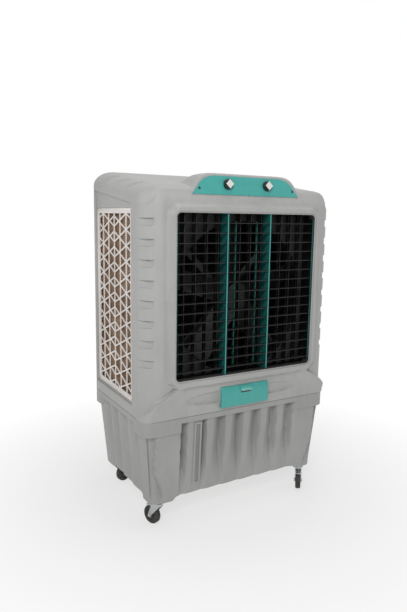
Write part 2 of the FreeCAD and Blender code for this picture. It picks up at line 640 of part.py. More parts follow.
# ---- control panel ----
def make_control_panel():
    """Teal fascia, and the two rotary switches behind it."""
    half = PANEL_HALF_W
    top_half = PANEL_TOP_HALF_W
    out, up = PANEL_SHOULDER
    mid = (out - 25, up + 16.5)
    lines = [Part.makeLine(V(-half, 0, 0), V(half, 0, 0)),
             Part.makeLine(V(half, 0, 0), V(out, 0, up)),
             Part.Arc(V(out, 0, up), V(mid[0], 0, mid[1]), V(top_half, 0, PANEL_H)).toShape(),
             Part.makeLine(V(top_half, 0, PANEL_H), V(-top_half, 0, PANEL_H)),
             Part.Arc(V(-top_half, 0, PANEL_H), V(-mid[0], 0, mid[1]), V(-out, 0, up)).toShape(),
             Part.makeLine(V(-out, 0, up), V(-half, 0, 0))]
    fascia = Part.Face(Part.Wire(lines)).extrude(V(0, PANEL_T, 0))
    holes = [rod(KNOB_STEM_R + RUNNING_FIT, (sx * KNOB_X, -1, KNOB_UP), (sx * KNOB_X, PANEL_T + 1, KNOB_UP))
             for sx in (-1, 1)]
    holes += [rod(SCREW_SHANK_R + 0.2, (sx * SCREW_X, -1, SCREW_UP), (sx * SCREW_X, PANEL_T + 1, SCREW_UP))
              for sx in (-1, 1)]
    fascia = fascia.cut(Part.makeCompound(holes))
    switches = []
    for sx in (-1, 1):
        neck = rod(KNOB_STEM_R + 3.8, (sx * KNOB_X, PANEL_T, KNOB_UP), (sx * KNOB_X, PANEL_T + 9, KNOB_UP))
        case = box(sx * KNOB_X - 17, sx * KNOB_X + 17, PANEL_T + WALL, PANEL_T + WALL + 28,
                   KNOB_UP - 16, KNOB_UP + 16)
        bore = rod(KNOB_STEM_R + RUNNING_FIT, (sx * KNOB_X, 0, KNOB_UP), (sx * KNOB_X, 22, KNOB_UP))
        switches.append(joined([neck, case]).cut(bore))
    return [on_panel(piece) for piece in [fascia] + switches]


def make_knob(x):
    """Round skirt with a raised square face, and the stem that enters the switch."""
    skirt = Part.makeCone(KNOB_R, KNOB_R - 2, 9, V(0, -0.4, 0), V(0, -1, 0))
    grip = box(-12.5, 12.5, -KNOB_H, -5, -12.5, 12.5)
    grip = turned(grip, 45, BACKWARD)
    stem = rod(KNOB_STEM_R, (0, -4, 0), (0, 19, 0))
    knob = joined([skirt, grip, stem])
    return on_panel(moved(knob, x, 0, KNOB_UP))


def make_cover_screws():
    """Panel screws and the screws at the corners of each pad grille."""
    def screw(length):
        head = rod(SCREW_HEAD_R, (0, -SCREW_HEAD_H, 0), (0, 0, 0))
        shank = rod(SCREW_SHANK_R - 0.1, (0, -0.5, 0), (0, length, 0))
        return joined([head, shank])

    screws = [on_panel(moved(screw(12), sx * SCREW_X, 0, SCREW_UP)) for sx in (-1, 1)]

    def corner_screws(u0, u1):
        found = []
        for u in (u0 + SCREW_INSET, u1 - SCREW_INSET):
            for z in (PAD_BOTTOM_Z + SCREW_INSET, PAD_TOP_Z - SCREW_INSET):
                one = turned(screw(GRILLE_T + LEDGE_T), 90)
                found.append(moved(one, -GRILLE_FACE, u, z))
        return Part.makeCompound(found)

    return screws + on_sides(corner_screws)


# ---- pads ----
def draw_grille(u0, u1):
    """White lattice grille: border, upright bars and crossed diagonals."""
    outer = box(-GRILLE_BACK, -GRILLE_FACE, u0, u1, PAD_BOTTOM_Z, PAD_TOP_Z)
    inner = box(-GRILLE_BACK - 1, -GRILLE_FACE + 1, u0 + GRILLE_BORDER, u1 - GRILLE_BORDER,
                PAD_BOTTOM_Z + GRILLE_BORDER, PAD_TOP_Z - GRILLE_BORDER)
    frame = outer.cut(inner)
    x0 = -GRILLE_FACE - 1.5 - GRILLE_BAR_T
    x1 = -GRILLE_FACE - 1.5
    low = PAD_BOTTOM_Z + GRILLE_BORDER
    high = PAD_TOP_Z - GRILLE_BORDER
    left = u0 + GRILLE_BORDER
    right = u1 - GRILLE_BORDER
    middle = (u0 + u1) / 2
    slope = GRILLE_RISE / GRILLE_COLUMN
    half_bar = GRILLE_BAR / 2 * math.sqrt(1 + slope * slope)
    count = math.ceil((right - left) / 2 / GRILLE_COLUMN)
    cells = math.ceil((high - low) / GRILLE_CELL_H)
    bars = []
    for i in range(-2 * count, 2 * count + 1):
        u = middle + GRILLE_COLUMN * i / 2
        if left < u < right:
            bars.append(box(x0, x1, u - GRILLE_BAR / 2, u + GRILLE_BAR / 2, low - 2, high + 2))
    for i in range(-count, count):
        ends = (middle + GRILLE_COLUMN * i, middle + GRILLE_COLUMN * (i + 1))
        node, meet = ends if i % 2 else (ends[1], ends[0])
        for k in range(cells + 1):
            top = high - GRILLE_CELL_H * k
            for z, drop in ((top, -GRILLE_RISE), (top, GRILLE_RISE)):
                bars.append(prism([(x0, node, z - half_bar), (x0, meet, z + drop - half_bar),
                                   (x0, meet, z + drop + half_bar), (x0, node, z + half_bar)],
                                  (x1 - x0, 0, 0)))
    window = box(x0, x1, left - 2, right + 2, low - 2, high + 2)
    lattice = joined(bars).common(window)
    return joined([frame, lattice]).cut(grille_pilots(u0, u1))


def draw_pad(u0, u1):
    return box(-PAD_FACE - PAD_T, -PAD_FACE, u0, u1, PAD_BOTTOM_Z, PAD_TOP_Z)


# ---- tank ----
def tank_section(z, half_w, front, back, radius):
    outline = Part.makePolygon([V(-half_w, front, z), V(half_w, front, z), V(half_w, back, z),
                                V(-half_w, back, z), V(-half_w, front, z)])
    solid = Part.Face(outline).extrude(V(0, 0, 1))
    edges = [e for e in solid.Edges if e.BoundBox.ZLength > 0.5]
    rounded = solid.makeFillet(radius, edges)
    bottom = [f for f in rounded.Faces if f.BoundBox.ZLength < 0.01 and abs(f.BoundBox.ZMin - z) < 0.01]
    return bottom[0].OuterWire


def tank_form(inset, z0, z1):
    """Tapered tub: wide at the rim, narrower at the floor."""
    full = SEAM_Z - TANK_RIM_H - TANK_FLOOR_Z

    def section(z):
        share = (SEAM_Z - TANK_RIM_H - z) / full
        return tank_section(z, TANK_TOP_HALF_W - inset - TANK_TAPER_X * share,
                            TANK_TOP_FRONT_Y + inset + TANK_TAPER_Y * share,
                            TANK_TOP_BACK_Y - inset - TANK_TAPER_Y * share, TANK_CORNER_R - inset)

    return Part.makeLoft([section(z0), section(z1)], True, True)


def make_water_tank():
    rim_z = SEAM_Z - TANK_RIM_H
    tub = tank_form(0, TANK_FLOOR_Z, rim_z + 1)
    rim = plan_prism(LOWER_PLAN, 0, rim_z, SEAM_Z)
    legs_form = tank_form(0, PLATE_Z, rim_z)
    legs = [box(sx * CASTOR_X - LEG_W / 2, sx * CASTOR_X + LEG_W / 2,
                sy * CASTOR_Y - LEG_W / 2, sy * CASTOR_Y + LEG_W / 2,
                PLATE_Z, TANK_FLOOR_Z + 2).common(legs_form) for sx in (-1, 1) for sy in (-1, 1)]
    hollow = tank_form(WALL, TANK_FLOOR_Z + WALL, SEAM_Z + 1)
    tank = joined([tub, rim] + legs).cut(hollow)
    gauge_slot = box(GAUGE_X - GAUGE_W / 2, GAUGE_X + GAUGE_W / 2, TANK_TOP_FRONT_Y - 30,
                     TANK_TOP_FRONT_Y + 60, GAUGE_BOTTOM_Z, GAUGE_TOP_Z)
    skin = tank_form(-1, TANK_FLOOR_Z - 1, rim_z).cut(tank_form(2, TANK_FLOOR_Z - 2, rim_z + 1))
    tank = tank.cut(gauge_slot.common(skin))
    tank = tank.cut(rod(SPIGOT_NECK_R + 0.1, (SPIGOT_X, TANK_TOP_BACK_Y - 40, SPIGOT_Z),
                        (SPIGOT_X, TANK_TOP_BACK_Y + 10, SPIGOT_Z)))
    bolts = [hole for holes in castor_bolt_rods(2.6, TANK_FLOOR_Z + WALL + 1, PLATE_Z - 1) for hole in holes]
    tank = tank.cut(Part.makeCompound(bolts))
    drain = rod(DRAIN_R, (DRAIN_X, 0, TANK_FLOOR_Z - 1), (DRAIN_X, 0, TANK_FLOOR_Z + WALL + 1))
    plug = joined([rod(DRAIN_R - RUNNING_FIT, (DRAIN_X, 0, TANK_FLOOR_Z), (DRAIN_X, 0, TANK_FLOOR_Z + WALL)),
                   rod(DRAIN_R + 5, (DRAIN_X, 0, TANK_FLOOR_Z - 6), (DRAIN_X, 0, TANK_FLOOR_Z))])
    return [tank.cut(drain), plug]


def make_level_gauge():
    slot = box(GAUGE_X - GAUGE_W / 2, GAUGE_X + GAUGE_W / 2, TANK_TOP_FRONT_Y - 30,
               TANK_TOP_FRONT_Y + 60, GAUGE_BOTTOM_Z, GAUGE_TOP_Z)
    rim_z = SEAM_Z - TANK_RIM_H
    return slot.common(tank_form(-2, TANK_FLOOR_Z - 1, rim_z).cut(tank_form(2, TANK_FLOOR_Z - 2, rim_z + 1)))


def make_float_valve():
    """Inlet valve clamped in the rear wall, with a threaded spigot outside."""
    wall_y = TANK_TOP_BACK_Y - TANK_TAPER_Y * (SEAM_Z - TANK_RIM_H - SPIGOT_Z) / (
        SEAM_Z - TANK_RIM_H - TANK_FLOOR_Z)
    neck = rod(SPIGOT_NECK_R, (SPIGOT_X, wall_y - 30, SPIGOT_Z), (SPIGOT_X, wall_y + 4, SPIGOT_Z))
    flange = rod(SPIGOT_FLANGE_R, (SPIGOT_X, wall_y + 1, SPIGOT_Z), (SPIGOT_X, wall_y + 4, SPIGOT_Z))
    spigot = rod(SPIGOT_R, (SPIGOT_X, wall_y + 4, SPIGOT_Z), (SPIGOT_X, BACK_Y - 1, SPIGOT_Z))
    body = box(SPIGOT_X - 14, SPIGOT_X + 14, wall_y - 44, wall_y - WALL - 1.6,
               SPIGOT_Z - 13, SPIGOT_Z + 13)
    bore = rod(6, (SPIGOT_X, wall_y - 20, SPIGOT_Z), (SPIGOT_X, BACK_Y, SPIGOT_Z))
    pivot = rod(FLOAT_PIVOT_R, (SPIGOT_X - 12, FLOAT_PIVOT_Y, FLOAT_PIVOT_Z),
                (SPIGOT_X + 12, FLOAT_PIVOT_Y, FLOAT_PIVOT_Z))
    ears = [box(SPIGOT_X + sx * 11 - 1.5, SPIGOT_X + sx * 11 + 1.5, FLOAT_PIVOT_Y - 5, FLOAT_PIVOT_Y + 5,
                SPIGOT_Z - 25, SPIGOT_Z - 12) for sx in (-1, 1)]
    return joined([neck, flange, spigot, body, pivot] + ears).cut(bore)


def make_float_arm():
    """Arm and float, hanging at its lower stop."""
    eye = rod(5, (-4, 0, 0), (4, 0, 0))
    arm = box(-3, 3, -FLOAT_ARM, -3, -2, 2)
    ball = Part.makeSphere(FLOAT_R, V(0, -FLOAT_ARM - FLOAT_R + 4, 0))
    arm = joined([eye, arm, ball]).cut(rod(FLOAT_PIVOT_R + RUNNING_FIT, (-10, 0, 0), (10, 0, 0)))
    arm = turned(arm, FLOAT_DROOP, ACROSS)
    return moved(arm, SPIGOT_X, FLOAT_PIVOT_Y, FLOAT_PIVOT_Z)


def make_pump_and_pipes():
    """Submersible pump on the tank floor, its riser, and the pipe along the pads' tops."""
    floor = TANK_FLOOR_Z + WALL
    pump = joined([rod(45, (PUMP_X, PUMP_Y, floor), (PUMP_X, PUMP_Y, floor + 22)),
                   rod(32, (PUMP_X, PUMP_Y, floor + 20), (PUMP_X, PUMP_Y, floor + 95))])
    pipe_z = PAD_TOP_Z + 12
    riser = rod(8, (PUMP_X, PUMP_Y, floor + 95), (PUMP_X, PUMP_Y, pipe_z))
    side_x = HALF_W - PAD_FACE - PAD_T / 2
    back_y = BACK_Y - PAD_FACE - PAD_T / 2
    runs = [rod(8, (PUMP_X, PUMP_Y, pipe_z), (PUMP_X, back_y, pipe_z)),
            rod(8, (-side_x, back_y, pipe_z), (side_x, back_y, pipe_z))]
    runs += [rod(8, (sx * side_x, back_y, pipe_z), (sx * side_x, SIDE_PAD_FRONT_Y + 15, pipe_z))
             for sx in (-1, 1)]
    elbows = [Part.makeSphere(8, V(x, y, pipe_z)) for x, y in
              ((PUMP_X, PUMP_Y), (-side_x, back_y), (side_x, back_y))]
    saddles = [box(x - 6, x + 6, y - 6, y + 6, PAD_TOP_Z, pipe_z) for x, y in
               ((-side_x, 0), (side_x, 0), (-side_x, 180), (side_x, 180), (0, back_y))]
    return [pump, joined([riser] + runs + elbows + saddles)]


# ---- castors ----
def castor_corners():
    """Name, pivot place and turn of each castor."""
    for name, turn in CASTOR_TURNS.items():
        x = -CASTOR_X if name.endswith("left") else CASTOR_X
        y = -CASTOR_Y if name.startswith("front") else CASTOR_Y
        yield name, x, y, turn


def castor_bolt_rods(radius, top, bottom):
    rods = []
    for name, x, y, turn in castor_corners():
        places = [(x + sx * BOLT_X, y + sy * BOLT_Y) for sx in (-1, 1) for sy in (-1, 1)]
        rods.append([rod(radius, (px, py, bottom), (px, py, top)) for px, py in places])
    return rods


def make_castor_plates():
    """Four top plates with their upper race, king pin and bolts."""
    bolts = castor_bolt_rods(2.5, TANK_FLOOR_Z + WALL + 5, PLATE_Z - 5)
    nuts = castor_bolt_rods(4.6, TANK_FLOOR_Z + WALL + 4, TANK_FLOOR_Z + WALL)
    heads = castor_bolt_rods(4.6, PLATE_Z - PLATE_T, PLATE_Z - PLATE_T - 3)
    plates = []
    for index, (name, x, y, turn) in enumerate(castor_corners()):
        plate = box(x - PLATE_L / 2, x + PLATE_L / 2, y - PLATE_W / 2, y + PLATE_W / 2,
                    PLATE_Z - PLATE_T, PLATE_Z)
        plate = plate.makeChamfer(PLATE_CORNER, [e for e in plate.Edges if e.BoundBox.ZLength > 1])
        race = rod(RACE_R - 3, (x, y, RACE_Z), (x, y, PLATE_Z - PLATE_T))
        pin = rod(KINGPIN_R, (x, y, RACE_Z - 12), (x, y, PLATE_Z - PLATE_T))
        head = rod(KINGPIN_R + 3, (x, y, RACE_Z - 14), (x, y, RACE_Z - 11))
        plates.append(joined([plate, race, pin, head] + bolts[index] + nuts[index] + heads[index]))
    return plates


def make_castor_fork():
    """Pressed fork in its own frame: pivot on Z, wheel offset along +X, with its axle bolt."""
    half = WHEEL_W / 2 + FORK_GAP
    crown = rod(RACE_R, (0, 0, FORK_TOP_Z - 5), (0, 0, FORK_TOP_Z))
    dish = rod(RACE_R - 5, (0, 0, FORK_TOP_Z - 10), (0, 0, FORK_TOP_Z - 5))
    cheeks = []
    for sy in (-1, 1):
        y0 = sy * half if sy > 0 else sy * half - FORK_T
        cheek = prism([(-14, y0, FORK_TOP_Z - 2), (18, y0, FORK_TOP_Z - 2),
                       (CASTOR_TRAIL + 9, y0, WHEEL_R + 2), (CASTOR_TRAIL + 4, y0, WHEEL_R - 8),
                       (CASTOR_TRAIL - 6, y0, WHEEL_R - 8), (CASTOR_TRAIL - 12, y0, WHEEL_R + 6),
                       (-16, y0, FORK_TOP_Z - 14)], (0, FORK_T, 0))
        cheeks.append(cheek)
    web = box(-16, -12, -half, half, FORK_TOP_Z - 14, FORK_TOP_Z - 2)
    fork = joined([crown, dish, web] + cheeks)
    fork = fork.cut(rod(KINGPIN_R + RUNNING_FIT, (0, 0, FORK_TOP_Z - 20), (0, 0, FORK_TOP_Z + 1)))
    fork = fork.cut(rod(KINGPIN_R + 3.5, (0, 0, FORK_TOP_Z - 20), (0, 0, RACE_Z - 10.5)))
    axle = rod(AXLE_R, (CASTOR_TRAIL, -half - FORK_T, WHEEL_R), (CASTOR_TRAIL, half + FORK_T, WHEEL_R))
    pedal_hole = rod(PEDAL_PIN_R + RUNNING_FIT, (PEDAL_X, -2 * half, PEDAL_Z), (PEDAL_X, 2 * half, PEDAL_Z))
    fork = fork.cut(axle).cut(pedal_hole)
    ends = [rod(AXLE_R + 3, (CASTOR_TRAIL, sy * (half + FORK_T), WHEEL_R),
                (CASTOR_TRAIL, sy * (half + FORK_T + 4), WHEEL_R)) for sy in (-1, 1)]
    return [fork, joined([axle] + ends)]


def make_castor_wheel():
    """Tyre and hub as one moulded wheel with its bore."""
    outline = rod(WHEEL_R, (CASTOR_TRAIL, -WHEEL_W / 2, WHEEL_R), (CASTOR_TRAIL, WHEEL_W / 2, WHEEL_R))
    outline = outline.makeFillet(5, [e for e in outline.Edges if e.BoundBox.YLength < 0.1])
    dish = [rod(WHEEL_R - 13, (CASTOR_TRAIL, sy * (WHEEL_W / 2 - 4), WHEEL_R),
                (CASTOR_TRAIL, sy * (WHEEL_W / 2 + 1), WHEEL_R)) for sy in (-1, 1)]
    boss_half = WHEEL_W / 2 + 0.8
    boss = rod(AXLE_R + 5, (CASTOR_TRAIL, -boss_half, WHEEL_R), (CASTOR_TRAIL, boss_half, WHEEL_R))
    bore = rod(AXLE_R + RUNNING_FIT, (CASTOR_TRAIL, -WHEEL_W, WHEEL_R), (CASTOR_TRAIL, WHEEL_W, WHEEL_R))
    return joined([outline.cut(dish[0]).cut(dish[1]), boss]).cut(bore)


def make_brake_pedal():
    """Foot lever pressed down over the wheel, turning on its pin in the fork."""
    half = WHEEL_W / 2 + FORK_GAP
    inner = half - 0.5
    pin = rod(PEDAL_PIN_R, (PEDAL_X, -half - FORK_T, PEDAL_Z), (PEDAL_X, half + FORK_T, PEDAL_Z))
    hub = rod(3.6, (PEDAL_X, -inner, PEDAL_Z), (PEDAL_X, inner, PEDAL_Z))
    over = 2 * WHEEL_R + PEDAL_CLEARANCE
    lever = prism([(PEDAL_X, -inner, over + 1.5), (PEDAL_X + 15, -inner, over),
                   (PEDAL_X + 37, -inner, over - 3.5), (PEDAL_X + 38, -inner, over),
                   (PEDAL_X + 15, -inner, over + 4), (PEDAL_X, -inner, over + 8)], (0, 2 * inner, 0))
    return joined([pin, hub, lever])


def place_castor(shape, x, y, turn):
    return moved(turned(shape, turn), x, y, 0)


# ---- write every node ----
def main():
    save("cabinet_shell", make_cabinet_shell())
    save("water_tank", *make_water_tank())
    save("fan_deck", make_fan_deck())
    save("fan_motor", make_fan_motor(), make_motor_bracket())
    save("fan_impeller", make_fan_impeller())
    save("louver_frame", make_louver_frame())
    for row, z in enumerate(tilt_heights()):
        save("tilt_blade_%02d" % (row + 1), make_tilt_blade(z))
    for column, x in enumerate(swing_places()):
        save("swing_blade_%02d" % (column + 1), make_swing_blade(x))
    save("tilt_bars", *make_tilt_bars())
    save("swing_bar", make_swing_bar())
    save("swing_motor", make_swing_motor())
    save("control_panel", *make_control_panel())
    save("knob_left", make_knob(-KNOB_X))
    save("knob_right", make_knob(KNOB_X))
    save("cover_screws", *make_cover_screws())
    save("pad_grilles", *on_sides(draw_grille))
    save("cooling_pads", *on_sides(draw_pad))
    save("fill_door", make_fill_door())
    save("level_gauge", make_level_gauge())
    save("float_valve", make_float_valve())
    save("float_arm", make_float_arm())
    save("pump_and_pipes", *make_pump_and_pipes())
    save("cable_gland", make_cable_gland())
    save("castor_plates", *make_castor_plates())
    for name, x, y, turn in castor_corners():
        save("castor_fork_" + name, *[place_castor(piece, x, y, turn) for piece in make_castor_fork()])
        save("castor_wheel_" + name, place_castor(make_castor_wheel(), x, y, turn))
        if name.startswith("front"):
            save("brake_pedal_" + name, place_castor(make_brake_pedal(), x, y, turn))


main()
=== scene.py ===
"""Looks of a portable evaporative cooler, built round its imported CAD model.

Lengths are in metres, +Z is up and -Y is the front.
"""

import json
import math

import bpy
import numpy as np
from mathutils import Matrix, Vector

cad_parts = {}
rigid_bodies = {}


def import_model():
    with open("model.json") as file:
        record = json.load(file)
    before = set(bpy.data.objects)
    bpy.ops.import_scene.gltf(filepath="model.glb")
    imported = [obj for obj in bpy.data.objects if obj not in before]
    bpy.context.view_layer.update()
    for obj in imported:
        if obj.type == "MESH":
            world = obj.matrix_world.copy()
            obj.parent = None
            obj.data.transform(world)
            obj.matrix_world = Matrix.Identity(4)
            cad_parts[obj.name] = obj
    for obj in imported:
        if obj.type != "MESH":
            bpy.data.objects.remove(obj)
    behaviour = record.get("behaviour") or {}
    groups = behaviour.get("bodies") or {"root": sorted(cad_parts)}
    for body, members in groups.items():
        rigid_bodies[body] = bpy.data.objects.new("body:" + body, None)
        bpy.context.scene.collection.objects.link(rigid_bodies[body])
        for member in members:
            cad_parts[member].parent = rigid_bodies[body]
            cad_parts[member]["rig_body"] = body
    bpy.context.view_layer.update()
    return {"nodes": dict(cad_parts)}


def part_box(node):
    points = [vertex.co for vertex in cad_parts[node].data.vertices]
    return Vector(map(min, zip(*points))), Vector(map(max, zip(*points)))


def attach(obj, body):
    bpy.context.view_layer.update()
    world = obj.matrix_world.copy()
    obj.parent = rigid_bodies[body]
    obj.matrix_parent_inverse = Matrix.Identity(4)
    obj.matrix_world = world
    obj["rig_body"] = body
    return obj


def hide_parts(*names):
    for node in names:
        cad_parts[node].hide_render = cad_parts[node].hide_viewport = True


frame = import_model()
nodes = frame["nodes"]
cabinet_lo, cabinet_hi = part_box("cabinet_shell")
tank_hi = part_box("water_tank")[1]

# ---- Water tank ----
# The lower half is a blow-moulded polyethylene tub. Pleats stiffen its walls, plain shields
# cover its corners, and a rim with deeper corner flanges carries the cabinet.


MIX_FIRST = 6                    # sockets of a colour mix node
MIX_SECOND = 7
MIX_RESULT = 2
MM_PER_M = 1000.0
TINY = 1e-5                      # places closer than this are the same


def linear(hex_colour):
    """An sRGB hex colour as the linear colour that a shader takes."""
    parts = [int(hex_colour[i:i + 2], 16) / 255 for i in (1, 3, 5)]
    return [c / 12.92 if c <= 0.04045 else ((c + 0.055) / 1.055) ** 2.4 for c in parts] + [1.0]


def add_node(tree, kind, settings=(), links=()):
    """Add one shader node; settings and links are keyed by property or input.

    A link may name a node, which then stands for its first output.
    """
    made = tree.nodes.new("ShaderNode" + kind)
    for key, value in dict(settings).items():
        if isinstance(key, str) and hasattr(made, key):
            setattr(made, key, value)
        else:
            made.inputs[key].default_value = value
    for key, source in dict(links).items():
        tree.links.new(getattr(source, "outputs", [source])[0], made.inputs[key])
    return made


def noise(tree, place, scale, detail, roughness=0.5):
    return add_node(tree, "TexNoise", {"Scale": scale, "Detail": detail, "Roughness": roughness},
                    {"Vector": place})


def calculate(tree, operation, *values):
    """A sum on shader values; each is a number, or a node or output to read."""
    numbers = {i: value for i, value in enumerate(values) if isinstance(value, (int, float))}
    sources = {i: value for i, value in enumerate(values) if i not in numbers}
    return add_node(tree, "Math", {"operation": operation, **numbers}, sources)


def map_range(tree, value, low, high, to_low, to_high):
    return add_node(tree, "MapRange", {"From Min": low, "From Max": high, "To Min": to_low,
                                       "To Max": to_high}, {"Value": value})


def mix_colours(tree, share, first, second):
    """Go from the first colour to the second; each is a hex colour or a node."""
    settings = {"data_type": "RGBA"}
    links = {0: share}
    for socket, colour in ((MIX_FIRST, first), (MIX_SECOND, second)):
        if isinstance(colour, str):
            settings[socket] = linear(colour)
        else:
            links[socket] = colour
    return add_node(tree, "Mix", settings, links).outputs[MIX_RESULT]


def three_colours(tree, share, low, middle, high):
    """Colours along a share, each given as its position and its hex colour."""
    ramp = add_node(tree, "ValToRGB", {}, {"Fac": share})
    elements = ramp.color_ramp.elements
    for element, (position, colour) in zip(elements, (low, high)):
        element.position = position
        element.color = linear(colour)
    elements.new(middle[0]).color = linear(middle[1])
    return ramp


def bumps(tree, height, strength, distance, links=()):
    return add_node(tree, "Bump", {"Strength": strength, "Distance": distance},
                    {"Height": height, **dict(links)})


def start_material(name):
    """An empty node material, its tree, and the place on the piece that its nodes read."""
    material = bpy.data.materials.new(name)
    material.use_nodes = True
    tree = material.node_tree
    tree.nodes.clear()
    return material, tree, add_node(tree, "TexCoord").outputs["Object"]


def end_material(material, settings, links):
    """Close a material with its surface shader."""
    skin = add_node(material.node_tree, "BsdfPrincipled", settings, links)
    add_node(material.node_tree, "OutputMaterial", {}, {"Surface": skin})
    return material


def moulded_plastic(name, colour, dull, bright, roughness, grain_mm, grain_height, coat=0.0):
    """Moulded plastic: faint clouds from the mould, fine grain, and patches from handling."""
    material, tree, place = start_material(name)
    clouds = noise(tree, place, 3.2, 3.0, 0.55)
    stretch = add_node(tree, "Mapping", {"Scale": (16.0, 16.0, 3.0)}, {"Vector": place})
    streaks = noise(tree, stretch, 2.4, 5.0, 0.6)
    share = calculate(tree, "MULTIPLY_ADD", clouds, 0.6, calculate(tree, "MULTIPLY", streaks, 0.4))
    tone = three_colours(tree, share, (0.36, dull), (0.5, colour), (0.66, bright))
    flecks = map_range(tree, noise(tree, place, 85.0, 3.0), 0.60, 0.74, 0.0, 0.35)
    shine = map_range(tree, streaks, 0.3, 0.7, roughness - 0.07, roughness + 0.09)
    soft = bumps(tree, noise(tree, place, 11.0, 1.0), 0.12, 0.004)
    grain = noise(tree, place, MM_PER_M / grain_mm, 2.0)
    return end_material(material, {"IOR": 1.5, "Coat Weight": coat, "Coat Roughness": 0.2},
                        {"Base Color": mix_colours(tree, flecks, tone, dull), "Roughness": shine,
                         "Normal": bumps(tree, grain, 0.5, grain_height, {"Normal": soft})})


# Blow-moulded polyethylene, as it leaves the mould: a waxy, half-matt grey with soft unevenness.
tank_polyethylene = moulded_plastic("tank_polyethylene", "#9FA09D", "#989996", "#A6A7A4", 0.50, 2.5, 0.0005)


def fill_places(stations, spacing):
    """Mesh line places: every station, and even steps between them no wider than the spacing."""
    places = [stations[0]]
    for start, end in zip(stations, stations[1:]):
        steps = max(1, math.ceil((end - start) / spacing - 1e-6))
        places += [start + (end - start) * (i + 1) / steps for i in range(steps)]
    return places


def both_ways(places):
    """The same places on both sides of zero."""
    return sorted({-p for p in places} | set(places))


def deselect_all():
    bpy.ops.object.select_all(action="DESELECT")


def make_active(piece):
    deselect_all()
    piece.select_set(True)
    bpy.context.view_layer.objects.active = piece


def plain_block(name, centre, size):
    """A block of a given size about a centre, to be shaped further."""
    deselect_all()
    bpy.ops.mesh.primitive_cube_add(size=1.0, location=centre)
    block = bpy.context.object
    block.name = name
    block.dimensions = size
    bpy.ops.object.transform_apply(location=True, rotation=False, scale=True)
    return block


def read_points(piece):
    flat = np.empty(len(piece.data.vertices) * 3)
    piece.data.vertices.foreach_get("co", flat)
    return flat.reshape(-1, 3)


def write_points(piece, points):
    piece.data.vertices.foreach_set("co", points.ravel())
    piece.data.update()


def pick(piece, kind, chosen):
    """Enter edit mode with only the chosen edges or faces selected."""
    make_active(piece)
    bpy.ops.object.mode_set(mode="EDIT")
    bpy.ops.mesh.select_mode(type=kind)
    bpy.ops.mesh.select_all(action="DESELECT")
    bpy.ops.object.mode_set(mode="OBJECT")
    parts = piece.data.edges if kind == "EDGE" else piece.data.polygons
    parts.foreach_set("select", chosen)
    bpy.ops.object.mode_set(mode="EDIT")


def faces_where(piece, test):
    """Which faces have a middle that passes the test of x, y and z."""
    return test(*np.array([p.center for p in piece.data.polygons]).T)


def delete_faces(piece, test):
    pick(piece, "FACE", faces_where(piece, test))
    bpy.ops.mesh.delete(type="FACE")
    bpy.ops.object.mode_set(mode="OBJECT")


def pad_places(places):
    """Add lines in the widest gaps until the spaces between lines fall into equal groups."""
    places = list(places)
    groups = math.ceil((len(places) - 1) / 90)
    while (len(places) - 1) % groups:
        widest = max(range(len(places) - 1), key=lambda i: places[i + 1] - places[i])
        places.insert(widest + 1, (places[widest] + places[widest + 1]) / 2)
    return places, groups


def cut_along(block, axis, cuts):
    """Cut all the edges that run along an axis into equal lengths."""
    ends = read_points(block)[np.array([e.vertices[:] for e in block.data.edges])][:, :, axis]
    pick(block, "EDGE", np.abs(ends[:, 0] - ends[:, 1]) > TINY)
    bpy.ops.mesh.subdivide(number_cuts=cuts)
    bpy.ops.object.mode_set(mode="OBJECT")


def lined_block(name, xs, ys, zs):
    """A block whose six faces carry mesh lines at the given places."""
    block = plain_block(name, (0.5, 0.5, 0.5), (1.0, 1.0, 1.0))
    lines = [pad_places(places) for places in (xs, ys, zs)]
    for axis, (places, groups) in enumerate(lines):
        for cuts in (groups - 1, (len(places) - 1) // groups - 1):
            if cuts:
                cut_along(block, axis, cuts)
    points = read_points(block)
    for axis, (places, groups) in enumerate(lines):
        even = np.linspace(0.0, 1.0, len(places))
        points[:, axis] = np.interp(points[:, axis], even, places)
    write_points(block, points)
    return block


def smooth(share):
    """From 0 to 1 with level ends."""
    share = np.clip(share, 0.0, 1.0)
    return share * share * (3 - 2 * share)


def apply_modifiers(piece):
    make_active(piece)
    for modifier in list(piece.modifiers):
        bpy.ops.object.modifier_apply(modifier=modifier.name)


def thicken(piece, thickness):
    """Give a skin the thickness of its wall, inwards."""
    wall = piece.modifiers.new("wall", "SOLIDIFY")
    wall.thickness = thickness
    wall.offset = -1.0
    apply_modifiers(piece)


def round_edges(piece, width, segments, sharper_than=30):
    """Round the edges where two faces meet at more than an angle."""
    edges = piece.modifiers.new("edges", "BEVEL")
    edges.width = width
    edges.segments = segments
    edges.limit_method = "ANGLE"
    edges.angle_limit = math.radians(sharper_than)
    apply_modifiers(piece)


def finish_piece(piece, material, smooth_angle, body, *replaced):
    """Give a piece its material and shading, and fix it to its body in place of its CAD nodes."""
    make_active(piece)
    bpy.ops.object.shade_smooth_by_angle(angle=math.radians(smooth_angle))
    piece.data.materials.clear()
    piece.data.materials.append(material)
    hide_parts(*replaced)
    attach(piece, body)


